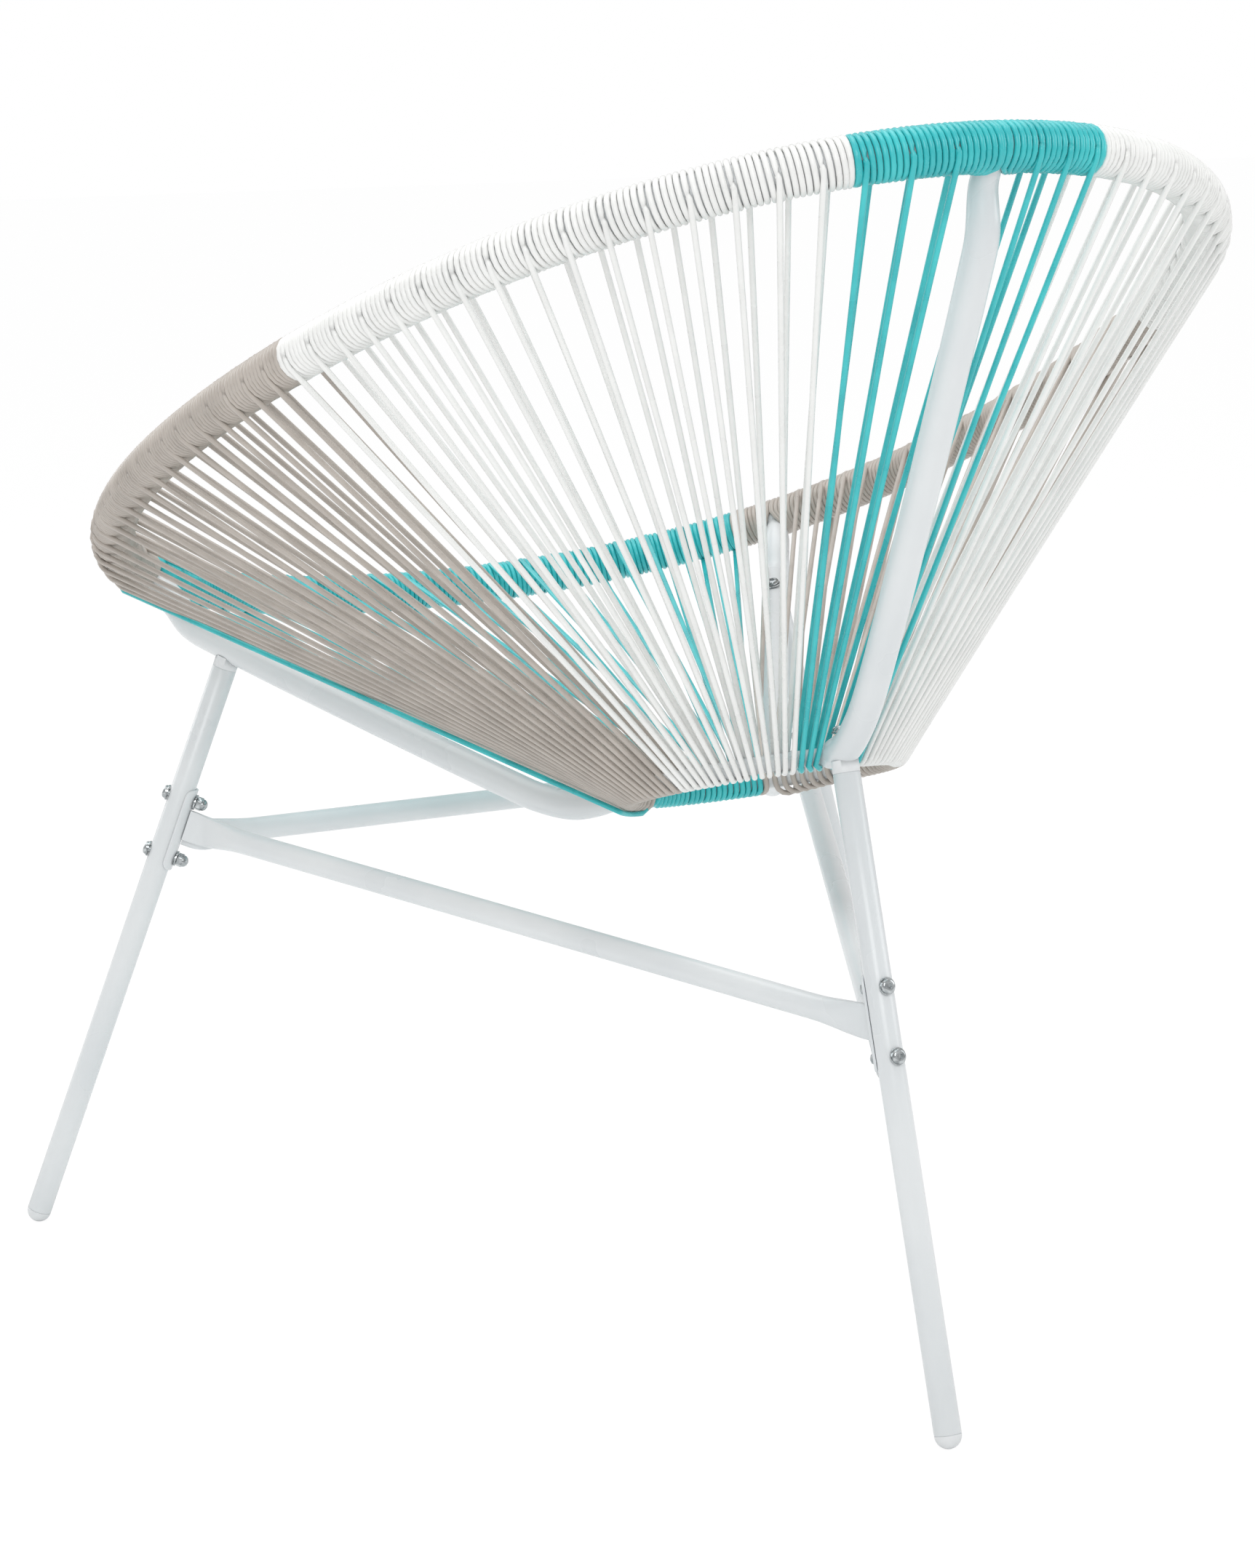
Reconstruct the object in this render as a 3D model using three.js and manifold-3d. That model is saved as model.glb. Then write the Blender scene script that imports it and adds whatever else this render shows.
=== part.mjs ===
// Acapulco chair: an egg-shaped steel rim and a small inner ring, joined by three support tubes and
// by cords that are wound round the rim and looped under the ring, one cord for each colour stretch.
// Three legs are bolted under the supports, and three brace tubes tie the legs into a triangle.
// Units are millimetres. X points to the sitter's left, the chair looks along -Y, and Z points up.
import * as THREE from 'three';
import { mergeVertices } from 'three/addons/utils/BufferGeometryUtils.js';
import Module from 'manifold-3d';

const wasm = await Module();
wasm.setup();

// Driving dimensions
const gap = 0.3;
const overrun = 4;

const rim = {
  halfWidth: 379, halfDepth: 443.7, midHeight: 666, halfRise: 201,
  backBulge: 38, frontDraw: 18, dish: 12, lift: 1.6,
  eggShare: 0.024, squareShare: 0.029,
  tubeRadius: 12.5,
};
const ring = {
  radius: 97, rodRadius: 6, centreY: 150, centreZ: 416.8, tiltDegrees: 18, sides: 10, steps: 40,
};
const cord = { radius: 2, loopCorners: 2, edgeInset: 5.2 };
const wrap = { grooveDepth: 1.2, boreStep: 72 };

const support = {
  radius: 11, neckRadius: 8.7, sides: 12, stepsPerSpan: 2, weldInset: 8, cordGap: 2.6,
};

// Bends of a front support, from the rim inwards and from the ring outwards, in its upright plane
const frontSupport = {
  rimShare: 0.2338, ringDegrees: 32.5, legSeatFromRim: 87.5,
  neckLength: 22, tipRadius: 6.5, tipLength: 60,
  rimIn1: 32, rimDown1: 24, rimIn2: 48, rimDown2: 40, rimIn3: 79, rimDown3: 52,
  ringOut1: 122, ringDown1: 5.4, ringOut2: 96, ringDown2: 12.2, ringOut3: 68, ringDown3: 15,
  ringOut4: 48, ringDown4: 12, ringOut5: 25, ringDown5: 6,
};
const rearSupport = {
  legSeatFromRing: 22.5, neckLength: 52, tipRadius: 8.7, tipLength: 22,
  rimIn1: 11, rimDown1: 24, rimIn2: 11.4, rimDown2: 54, rimIn3: 20.3, rimDown3: 80,
  ringOut1: 58.4, ringUp1: 54.4, ringOut2: 41, ringUp2: 26.5, ringOut3: 26, ringUp3: 10.5,
  ringOut4: 13, ringUp4: 5,
};

const leg = {
  radius: 9.5, wall: 1.5, sides: 14,
  frontFootX: 400.3, frontFootY: -331.6, rearFootY: 410.7,
  frontBracketHeight: 336.5, rearBracketHeight: 281,
};
const plug = { flange: 4.5, shank: 20, boltDepth: 17 };
const cap = { flatDepth: 0.6, shank: 18, domeSteps: 4 };

const bracket = { length: 68, thickness: 2, halfAngleDegrees: 62, steps: 8, boltSpacing: 48 };
const brace = {
  radius: 9, tabHalfWidth: 2.2, tabHalfHeight: 12.5, frontJoint: 24, rearJoint: 16, flare: 46, sides: 12,
  riseAtFront: 5, riseAtRear: 1, halfFlatShare: 0.6,
};

const bolt = {
  radius: 3, holeRadius: 3.3, headRadius: 5.25, crownRadius: 3.4, headHeight: 3.2, rimHeight: 1.1,
  socketRadius: 2, socketDepth: 1.6, sides: 10,
};
const washer = { outerRadius: 6.2, innerRadius: 3.5, thickness: 1.4, lift: 0.4 };
const nut = {
  cornerRadius: 5.6, hexHeight: 4.6, domeHeight: 4.2, domeRadius: 2.2, boreRadius: 3.9, roof: 1.6, sides: 6,
};

// Where the cord colours change, as shares of half of the rim, from its front centre
const colourShares = { grayToWhite: 0.6237, whiteToTeal: 0.9301 };
// The ring angle of the first white loop, counted from the ring's front
const whiteFromDegrees = 118.2;
const cordCount = { front: 22, gray: 21, white: 16, tealBack: 3, frontGray: 1 };
// Where a loop leaves the rim, swells the wrap most, and comes back, within its own stretch of rim
const leaveShare = 0.25;
const crestShare = 0.5;
const returnShare = 0.75;

const finish = {
  steel: { color: 0xe3e8ea, roughness: 0.38, metalness: 0 },
  plastic: { color: 0xeceeee, roughness: 0.5, metalness: 0 },
  zinc: { color: 0xb9bec2, roughness: 0.3, metalness: 0.9 },
  teal: { color: 0x3cc3c3, roughness: 0.4, metalness: 0 },
  white: { color: 0xebeeec, roughness: 0.4, metalness: 0 },
  gray: { color: 0xafa8a0, roughness: 0.42, metalness: 0 },
};

const up = new THREE.Vector3(0, 0, 1);
const chair = new THREE.Group();

function addMesh(parent, name, geometry, look) {
  const mesh = new THREE.Mesh(geometry, new THREE.MeshStandardMaterial({ ...look }));
  mesh.name = name;
  parent.add(mesh);
  return mesh;
}

function bufferGeometry(points, index) {
  const geometry = new THREE.BufferGeometry();
  const places = points.flatMap((point) => point.toArray());
  geometry.setAttribute('position', new THREE.Float32BufferAttribute(places, 3));
  geometry.setIndex(index);
  geometry.computeVertexNormals();
  return geometry;
}

function quadBetween(here, next, side, sides) {
  const after = (side + 1) % sides;
  return [here + side, here + after, next + after, next + side];
}

// A closed skin through rings of points. Each ring turns anticlockwise seen from its end of the row.
// A looped row joins its last ring to its first one, and an open row gets a flat cap at each end.
function skin(rings, looped = false) {
  const sides = rings[0].length;
  const index = [];
  const rows = looped ? rings.length : rings.length - 1;
  for (let row = 0; row < rows; row += 1) {
    const next = (row + 1) % rings.length;
    for (let side = 0; side < sides; side += 1) {
      const [a, b, c, d] = quadBetween(row * sides, next * sides, side, sides);
      index.push(a, b, c, a, c, d);
    }
  }
  if (!looped) {
    const last = (rings.length - 1) * sides;
    for (let side = 1; side < sides - 1; side += 1) {
      index.push(0, side + 1, side, last, last + side, last + side + 1);
    }
  }
  return bufferGeometry(rings.flat(), index);
}

// One ring of points round a centre, square to the tangent, with a flat side towards the reference
function sectionRing(centre, tangent, reference, halfWidth, halfHeight, sides) {
  const high = reference.clone().addScaledVector(tangent, -reference.dot(tangent)).normalize();
  const wide = new THREE.Vector3().crossVectors(high, tangent);
  const points = [];
  for (let side = 0; side < sides; side += 1) {
    const angle = ((side + 0.5) / sides) * 2 * Math.PI;
    points.push(centre.clone()
      .addScaledVector(wide, halfWidth * Math.cos(angle))
      .addScaledVector(high, halfHeight * Math.sin(angle)));
  }
  return points;
}

// Corner radius of a polygon that has about the area of a circle of radius one
function rounded(sides) {
  return 1 / Math.sqrt(Math.cos(Math.PI / sides));
}

function tangentsOf(points) {
  return points.map((point, i) => {
    const before = i === 0 ? points[1].clone().sub(point) : point.clone().sub(points[i - 1]);
    const after = i === points.length - 1 ? before.clone() : points[i + 1].clone().sub(point);
    return before.normalize().add(after.normalize()).normalize();
  });
}

// Rings of a square rod of straight pieces through a row of points, cut off at each point by a plane
function rodRings(points, normals, reference, reach) {
  const slide = (ring, direction, i) => ring.map((point) => {
    const distance = points[i].clone().sub(point).dot(normals[i]) / direction.dot(normals[i]);
    return point.clone().addScaledVector(direction, distance);
  });
  const headings = points.slice(1).map((point, i) => point.clone().sub(points[i]).normalize());
  const rings = [slide(sectionRing(points[0], headings[0], reference, reach, reach, 4), headings[0], 0)];
  headings.forEach((heading, i) => rings.push(slide(rings[i], heading, i + 1)));
  return rings;
}

function solidOf(geometry) {
  const bare = geometry.clone();
  bare.deleteAttribute('normal');
  bare.deleteAttribute('uv');
  const merged = mergeVertices(bare, gap / 1000);
  return new wasm.Manifold(new wasm.Mesh({
    numProp: 3,
    vertProperties: new Float32Array(merged.attributes.position.array),
    triVerts: new Uint32Array(merged.index.array),
  }));
}

function geometryOf(solid) {
  const mesh = solid.getMesh();
  const geometry = new THREE.BufferGeometry();
  geometry.setAttribute('position', new THREE.Float32BufferAttribute(mesh.vertProperties, 3));
  geometry.setIndex(Array.from(mesh.triVerts));
  return geometry;
}

function cut(geometry, cutters) {
  return geometryOf(cutters.reduce((left, cutter) => left.subtract(solidOf(cutter)), solidOf(geometry)));
}

// The rim's centre line, which starts at the front centre and turns towards the sitter's left
class RimCurve extends THREE.Curve {
  getPoint(u, target = new THREE.Vector3()) {
    const turn = 2 * Math.PI * u;
    const s = -Math.cos(turn);
    const wave = Math.sin(turn) + rim.eggShare * Math.sin(2 * turn) + rim.squareShare * Math.sin(3 * turn);
    return target.set(
      rim.halfWidth * wave,
      rim.halfDepth * s + rim.backBulge * (s * s - 1) - rim.frontDraw * (s ** 3 - s),
      rim.midHeight + rim.halfRise * s + rim.dish * (s * s - 1) + rim.lift * (s ** 3 - s),
    );
  }
}
const rimCurve = new RimCurve();
rimCurve.arcLengthDivisions = 1200;
const rimLength = rimCurve.getLength();
const halfRim = rimLength / 2;
const frontArc = frontSupport.rimShare * halfRim;
const grayToWhite = colourShares.grayToWhite * halfRim;
const whiteToTeal = colourShares.whiteToTeal * halfRim;

function rimPoint(arc) {
  return rimCurve.getPointAt(THREE.MathUtils.euclideanModulo(arc / rimLength, 1));
}

function rimTangent(arc) {
  return rimPoint(arc + gap).sub(rimPoint(arc - gap)).normalize();
}

const ringTilt = THREE.MathUtils.degToRad(ring.tiltDegrees);
const ringCentre = new THREE.Vector3(0, ring.centreY, ring.centreZ);

// A point of the ring's centre line: angle zero is its front, a quarter turn its side at X above zero
function ringPoint(angle) {
  return new THREE.Vector3(
    ring.radius * Math.sin(angle),
    -ring.radius * Math.cos(angle) * Math.cos(ringTilt),
    -ring.radius * Math.cos(angle) * Math.sin(ringTilt),
  ).add(ringCentre);
}

function ringTangent(angle) {
  return new THREE.Vector3(
    Math.cos(angle),
    Math.sin(angle) * Math.cos(ringTilt),
    Math.sin(angle) * Math.sin(ringTilt),
  );
}

// A section of the rim or its wrap, with eight corners that are counted from the one next to the seat.
// The cords come out of the flat after the first corner, on top, and of its mirror image below.
const sectionShape = { sides: 8, topIndex: 1, lowIndex: 6 };

function rimSection(arc, reach) {
  const centre = rimPoint(arc);
  const tangent = rimTangent(arc);
  const high = new THREE.Vector3().crossVectors(tangent, ringCentre.clone().sub(centre)).normalize();
  const wide = new THREE.Vector3().crossVectors(high, tangent);
  return Array.from({ length: sectionShape.sides }, (_, corner) => {
    const turn = (corner / sectionShape.sides) * 2 * Math.PI;
    return centre.clone()
      .addScaledVector(wide, reach * Math.cos(turn))
      .addScaledVector(high, reach * Math.sin(turn));
  });
}

// Arc lengths at which the bore of one length of wrap has its corners. The rim tube has its own there.
function boreArcs(start, end) {
  const steps = Math.ceil((end - start) / wrap.boreStep);
  return Array.from({ length: steps + 1 }, (_, i) => start + gap / 2 + ((end - start - gap) * i) / steps);
}
const rimReach = rim.tubeRadius * rounded(sectionShape.sides);
const boreReach = rimReach + gap / Math.cos(Math.PI / sectionShape.sides);
const crestReach = (rim.tubeRadius + 2 * cord.radius) * rounded(sectionShape.sides);
const valleyReach = crestReach - wrap.grooveDepth;

// Support tubes, each a smooth route from the rim to the ring, with a neck at the rim and a narrowed tip
function supportCurve(route) {
  return new THREE.CatmullRomCurve3(route, false, 'centripetal');
}

function supportTube({ route, side, shape }, clearance = 0) {
  const points = supportCurve(route).getPoints((route.length - 1) * support.stepsPerSpan);
  const along = [0];
  for (let i = 1; i < points.length; i += 1) along.push(along[i - 1] + points[i].distanceTo(points[i - 1]));
  const length = along[along.length - 1];
  const tangents = tangentsOf(points);
  return skin(points.map((point, i) => {
    const grown = (from, share) => THREE.MathUtils.lerp(from, support.radius, Math.min(1, share));
    const radius = Math.min(
      grown(support.neckRadius, along[i] / shape.neckLength),
      grown(shape.tipRadius, (length - along[i]) / shape.tipLength));
    const reach = (radius + clearance) * rounded(support.sides);
    return sectionRing(point, tangents[i], side, reach, reach, support.sides);
  }));
}

// A place in the upright plane of a support: so far along a level direction, and so far up
function shifted(point, direction, distance, rise) {
  return point.clone().addScaledVector(direction, distance).addScaledVector(up, rise);
}

function planeOf(rimEnd, ringEnd) {
  const inward = ringEnd.clone().sub(rimEnd).setZ(0).normalize();
  const side = new THREE.Vector3().crossVectors(up, inward);
  return { rimEnd, ringEnd, inward, outward: inward.clone().negate(), side };
}

function weldedTo({ rimEnd }, firstBend) {
  return rimEnd.clone().add(firstBend.clone().sub(rimEnd).setLength(support.weldInset));
}

function frontRoute(mirror) {
  const f = frontSupport;
  const plane = planeOf(
    rimPoint(mirror * frontArc), ringPoint(mirror * THREE.MathUtils.degToRad(f.ringDegrees)));
  const { rimEnd, ringEnd, inward, outward } = plane;
  const firstBend = shifted(rimEnd, inward, f.rimIn1, -f.rimDown1);
  const route = [
    weldedTo(plane, firstBend),
    firstBend,
    shifted(rimEnd, inward, f.rimIn2, -f.rimDown2),
    shifted(rimEnd, inward, f.rimIn3, -f.rimDown3),
    shifted(ringEnd, outward, f.ringOut1, -f.ringDown1),
    shifted(ringEnd, outward, f.ringOut2, -f.ringDown2),
    shifted(ringEnd, outward, f.ringOut3, -f.ringDown3),
    shifted(ringEnd, outward, f.ringOut4, -f.ringDown4),
    shifted(ringEnd, outward, f.ringOut5, -f.ringDown5),
    shifted(ringEnd, outward, ring.rodRadius / 2, 0),
  ];
  return { ...plane, route, shape: f };
}

function rearRoute() {
  const r = rearSupport;
  const plane = planeOf(rimPoint(halfRim), ringPoint(Math.PI));
  const { rimEnd, ringEnd, inward, outward } = plane;
  const firstBend = shifted(rimEnd, inward, r.rimIn1, -r.rimDown1);
  const route = [
    weldedTo(plane, firstBend),
    firstBend,
    shifted(rimEnd, inward, r.rimIn2, -r.rimDown2),
    shifted(rimEnd, inward, r.rimIn3, -r.rimDown3),
    shifted(ringEnd, outward, r.ringOut1, r.ringUp1),
    shifted(ringEnd, outward, r.ringOut2, r.ringUp2),
    shifted(ringEnd, outward, r.ringOut3, r.ringUp3),
    shifted(ringEnd, outward, r.ringOut4, r.ringUp4),
    shifted(ringEnd, outward, ring.rodRadius / 2, 0),
  ];
  return { ...plane, route, shape: r };
}

// The point of a route whose level distance from one of its ends comes nearest to a given one
function pointOnRoute(route, end, distance) {
  const miss = (point) => Math.abs(Math.hypot(point.x - end.x, point.y - end.y) - distance);
  return supportCurve(route).getSpacedPoints(rimCurve.arcLengthDivisions)
    .reduce((best, point) => (miss(point) < miss(best) ? point : best));
}

const supports = [
  { place: 'front_left', rimArc: frontArc, ...frontRoute(1) },
  { place: 'front_right', rimArc: -frontArc, ...frontRoute(-1) },
  { place: 'rear', rimArc: halfRim, ...rearRoute() },
];

// Legs: each is drawn in its own frame, whose origin is the centre of the foot's dome, with Y along
// the leg and Z towards the middle of the brace triangle.
const domeHeight = leg.radius - cap.flatDepth;
const legs = supports.map((carrier) => {
  const rear = carrier.place === 'rear';
  const seat = rear
    ? pointOnRoute(carrier.route, carrier.ringEnd, rearSupport.legSeatFromRing)
    : pointOnRoute(carrier.route, carrier.rimEnd, frontSupport.legSeatFromRim);
  const foot = new THREE.Vector3(0, leg.rearFootY, 0);
  if (!rear) foot.set(Math.sign(carrier.rimArc) * leg.frontFootX, leg.frontFootY, 0);
  const axis = seat.clone().sub(foot).normalize();
  foot.addScaledVector(axis, domeHeight / axis.z);
  const bracketHeight = rear ? leg.rearBracketHeight : leg.frontBracketHeight;
  const bracketCentre = foot.clone().addScaledVector(axis, bracketHeight);
  const length = seat.distanceTo(foot);
  return { place: carrier.place, rear, carrier, foot, axis, length, bracketHeight, bracketCentre };
});
for (const item of legs) {
  const inward = new THREE.Vector3();
  for (const other of legs.filter((candidate) => candidate !== item)) {
    inward.add(other.bracketCentre.clone().sub(item.bracketCentre).normalize());
  }
  item.inward = inward.addScaledVector(item.axis, -inward.dot(item.axis)).normalize();
  item.sideways = new THREE.Vector3().crossVectors(item.axis, item.inward);
  item.group = new THREE.Group();
  item.group.quaternion.setFromRotationMatrix(
    new THREE.Matrix4().makeBasis(item.sideways, item.axis, item.inward));
  item.group.position.copy(item.foot);
  item.group.updateMatrixWorld(true);
  item.toLocal = item.group.matrixWorld.clone().invert();
  chair.add(item.group);
}

function lathe(outline, sides) {
  const profile = outline.map(([radius, height]) => new THREE.Vector2(radius, height));
  return new THREE.LatheGeometry(profile, sides);
}

function rod(radius, from, to, sides) {
  return lathe([[0, from], [radius, from], [radius, to], [0, to]], sides);
}

// Lays a part that is drawn along Y across the leg, pointing inward, at a height of the leg
function acrossLeg(geometry, height) {
  return geometry.rotateX(Math.PI / 2).translate(0, height, 0);
}

// A button-head bolt whose head seats at a height. Where flange is over zero, a washer is under it.
function boltShape(from, seat, flange = 0) {
  const under = seat + flange;
  const top = under + bolt.headHeight;
  const outline = [[0, from], [bolt.radius, from], [bolt.radius, seat]];
  if (flange > 0) outline.push([washer.outerRadius, seat], [washer.outerRadius, under]);
  outline.push(
    [bolt.headRadius, under], [bolt.headRadius, under + bolt.rimHeight], [bolt.crownRadius, top],
    [bolt.socketRadius, top], [bolt.socketRadius, top - bolt.socketDepth], [0, top - bolt.socketDepth],
  );
  return lathe(outline, bolt.sides);
}

function washerShape(from) {
  const to = from + washer.thickness;
  return lathe([
    [washer.innerRadius, from], [washer.outerRadius, from], [washer.outerRadius, to],
    [washer.innerRadius, to], [washer.innerRadius, from],
  ], bolt.sides);
}

function capNutShape(from) {
  const shoulder = from + nut.hexHeight;
  const top = shoulder + nut.domeHeight;
  return lathe([
    [nut.boreRadius, from], [nut.cornerRadius, from], [nut.cornerRadius, shoulder], [nut.domeRadius, top],
    [0, top], [0, top - nut.roof], [nut.domeRadius, top - nut.roof], [nut.boreRadius, shoulder],
    [nut.boreRadius, from],
  ], nut.sides);
}

const legBore = leg.radius - leg.wall;
const plateInner = leg.radius + gap;
const plateOuter = plateInner + bracket.thickness;
const plugTop = ({ length }) => length - support.radius - gap;
const tubeTop = (item) => plugTop(item) - plug.flange - gap;
const bracketBolts = ({ bracketHeight }) => (
  [-1, 1].map((sign) => bracketHeight + (sign * bracket.boltSpacing) / 2));

function crossHoles(item) {
  return bracketBolts(item).map((height) => acrossLeg(
    rod(bolt.holeRadius, -leg.radius - overrun, plateOuter + overrun, bolt.sides), height));
}

function addLeg(item) {
  const { place, group, toLocal, carrier } = item;
  const top = tubeTop(item);
  const seat = plugTop(item);
  const tube = lathe(
    [[legBore, gap], [leg.radius, gap], [leg.radius, top], [legBore, top], [legBore, gap]], leg.sides);
  addMesh(group, `leg_tube_${place}`, cut(tube, crossHoles(item)), finish.steel);

  const shank = (legBore - gap) * Math.cos(Math.PI / leg.sides);
  const plugBody = lathe([
    [bolt.holeRadius, top - plug.shank], [shank, top - plug.shank], [shank, top + gap],
    [leg.radius, top + gap], [leg.radius, seat], [bolt.holeRadius, seat],
    [bolt.holeRadius, top - plug.shank],
  ], leg.sides);
  const clearance = supportTube(carrier, gap).applyMatrix4(toLocal);
  addMesh(group, `leg_top_plug_${place}`, cut(plugBody, [clearance]), finish.plastic);

  const dome = [];
  for (let step = 0; step <= cap.domeSteps; step += 1) {
    const turn = (step / cap.domeSteps) * (Math.PI / 2);
    dome.push([leg.radius * Math.sin(turn), -leg.radius * Math.cos(turn)]);
  }
  const capBody = lathe([...dome, [shank, 0], [shank, cap.shank], [0, cap.shank]], leg.sides);
  const below = new THREE.BoxGeometry(4 * leg.radius, 4 * leg.radius, leg.radius)
    .translate(item.foot.x, item.foot.y, -leg.radius / 2)
    .applyMatrix4(toLocal);
  addMesh(group, `foot_cap_${place}`, cut(capBody, [below]), finish.plastic);
}

function addBracket(item) {
  const half = THREE.MathUtils.degToRad(bracket.halfAngleDegrees);
  const outline = new THREE.Shape();
  outline.absarc(0, 0, plateOuter, Math.PI / 2 - half, Math.PI / 2 + half, false);
  outline.absarc(0, 0, plateInner, Math.PI / 2 + half, Math.PI / 2 - half, true);
  outline.closePath();
  const plate = new THREE.ExtrudeGeometry(outline, {
    depth: bracket.length, bevelEnabled: false, curveSegments: bracket.steps,
  });
  plate.rotateX(Math.PI / 2).translate(0, item.bracketHeight + bracket.length / 2, 0);
  addMesh(item.group, `brace_bracket_${item.place}`, cut(plate, crossHoles(item)), finish.steel);
}

function addFasteners(item) {
  const { place, group } = item;
  const nutSeat = plateOuter + gap + washer.thickness + gap;
  const tip = nutSeat + nut.hexHeight - gap;
  bracketBolts(item).forEach((height, i) => {
    const label = `${place}_${i === 0 ? 'lower' : 'upper'}`;
    const screw = boltShape(-tip, leg.radius + gap, washer.thickness).rotateX(Math.PI);
    addMesh(group, `brace_bolt_${label}`, acrossLeg(screw, height), finish.zinc);
    addMesh(group, `brace_washer_${label}`, acrossLeg(washerShape(plateOuter + gap), height), finish.zinc);
    addMesh(group, `brace_cap_nut_${label}`, acrossLeg(capNutShape(nutSeat), height), finish.zinc);
  });
  const washerSeat = item.length + support.radius + gap + washer.lift;
  const seatBolt = boltShape(tubeTop(item) - plug.boltDepth, washerSeat + washer.thickness + gap);
  addMesh(group, `seat_bolt_${place}`, seatBolt, finish.zinc);
  addMesh(group, `seat_bolt_washer_${place}`, washerShape(washerSeat), finish.zinc);
}

// Brace tubes: round between the legs, and pressed flat into upright tabs that meet on each bracket
function braceEnd(item, other) {
  const { axis, inward, bracketCentre } = item;
  const side = new THREE.Vector3().crossVectors(inward, axis).normalize();
  if (side.dot(other.bracketCentre.clone().sub(bracketCentre)) < 0) side.negate();
  const frontBrace = !item.rear && !other.rear;
  const sideRise = item.rear ? brace.riseAtRear : brace.riseAtFront;
  const middle = bracketCentre.clone()
    .addScaledVector(side, brace.tabHalfWidth + gap)
    .addScaledVector(axis, frontBrace ? 0 : sideRise);
  const depth = item.rear ? brace.rearJoint : brace.frontJoint;
  return {
    side,
    seat: middle.clone().addScaledVector(inward, plateOuter + gap),
    joint: middle.clone().addScaledVector(inward, depth),
  };
}

// A block over everything that lies past the middle of a bracket, seen from a brace on one side of it
function pastMiddle(item, side) {
  const reach = 4 * bracket.length;
  const across = new THREE.Vector3().crossVectors(side, item.axis);
  const basis = new THREE.Matrix4().makeBasis(side, item.axis, across);
  return new THREE.BoxGeometry(reach, reach, reach)
    .translate(gap / 2 - reach / 2, 0, 0)
    .applyMatrix4(basis)
    .translate(...item.bracketCentre.toArray());
}

function addBrace(name, from, to) {
  const start = braceEnd(from, to);
  const end = braceEnd(to, from);
  const along = end.joint.clone().sub(start.joint).normalize();
  const point = (origin, distance) => origin.clone().addScaledVector(along, distance);
  const stations = [
    [start.seat, 0], [start.joint, 0],
    [point(start.joint, brace.flare / 2), brace.halfFlatShare], [point(start.joint, brace.flare), 1],
    [point(end.joint, -brace.flare), 1], [point(end.joint, -brace.flare / 2), brace.halfFlatShare],
    [end.joint, 0], [end.seat, 0],
  ];
  const tangents = tangentsOf(stations.map(([centre]) => centre));
  const round = rounded(brace.sides);
  const rings = stations.map(([centre, share], i) => sectionRing(
    centre, tangents[i], up,
    round * THREE.MathUtils.lerp(brace.tabHalfWidth, brace.radius, share),
    round * THREE.MathUtils.lerp(brace.tabHalfHeight, brace.radius, share),
    brace.sides));
  const cutters = [pastMiddle(from, start.side), pastMiddle(to, end.side)];
  addMesh(chair, name, cut(skin(rings), cutters), finish.steel);
}

// Seat cords: a loop leaves the rim's lower face, passes under the ring and comes back to the upper face.
const cordReach = cord.radius * Math.sqrt(Math.PI / 2);
const loopReach = (ring.rodRadius + 2 * gap + cord.radius) / Math.cos(Math.PI / (2 * cord.loopCorners));

// Middle and outward normal of a four-cornered patch
function patchOf(corners) {
  const [a, b, c, d] = corners;
  const centre = a.clone().add(b).add(c).add(d).divideScalar(corners.length);
  return { centre, normal: c.clone().sub(a).cross(d.clone().sub(b)).normalize() };
}

function loopRings({ angle }, lowPatch, topPatch) {
  const centre = ringPoint(angle);
  const tangent = ringTangent(angle);
  const towards = lowPatch.centre.clone().lerp(topPatch.centre, crestShare).sub(centre);
  towards.addScaledVector(tangent, -towards.dot(tangent)).normalize();
  const under = new THREE.Vector3().crossVectors(tangent, towards);
  const bends = Array.from({ length: cord.loopCorners }, (_, corner) => {
    const turn = ((corner + 0.5) / cord.loopCorners) * Math.PI;
    return centre.clone()
      .addScaledVector(under, loopReach * Math.cos(turn))
      .addScaledVector(towards, -loopReach * Math.sin(turn));
  });
  const points = [lowPatch.centre, ...bends, topPatch.centre];
  const normals = [lowPatch.normal, ...tangentsOf(points).slice(1, -1), topPatch.normal];
  return rodRings(points, normals, tangent, cordReach);
}

// Joins four corners of a hole in a skin to the four corners of a rod's end inside that hole.
function collar(points, hole, end) {
  const misfit = (turn) => hole.reduce(
    (sum, corner, i) => sum + points[corner].distanceTo(points[end[(i + turn) % end.length]]), 0);
  const turns = hole.map((_, i) => i).sort((one, other) => misfit(one) - misfit(other));
  const [best] = turns;
  return hole.flatMap((corner, i) => {
    const next = (i + 1) % hole.length;
    const inner = end[(i + best) % end.length];
    const innerNext = end[(next + best) % end.length];
    return [corner, hole[next], innerNext, corner, innerNext, inner];
  });
}

// A run is a stretch of rim with evenly spaced loops, given by its ends and the loops' ring angles.
function makeRun(from, to, angles) {
  const pitch = (to - from) / angles.length;
  const loops = angles.map((angle, i) => ({
    leaveArc: from + (i + leaveShare) * pitch,
    returnArc: from + (i + returnShare) * pitch,
    angle,
  }));
  return { from, to, pitch, loops };
}

function partOf({ from, pitch, loops }, first, last) {
  return { from: from + first * pitch, to: from + last * pitch, pitch, loops: loops.slice(first, last) };
}

// The same run on the other side of the chair, as arc lengths that still grow
function mirrored({ from, to, pitch, loops }, turn = 0) {
  const turned = loops.map(({ leaveArc, returnArc, angle }) => (
    { leaveArc: turn - leaveArc, returnArc: turn - returnArc, angle: -angle }));
  return { from: turn - to, to: turn - from, pitch, loops: turned };
}

function spread(count, first, last) {
  return Array.from({ length: count }, (_, i) => first + ((last - first) * i) / (count - 1));
}

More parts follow.
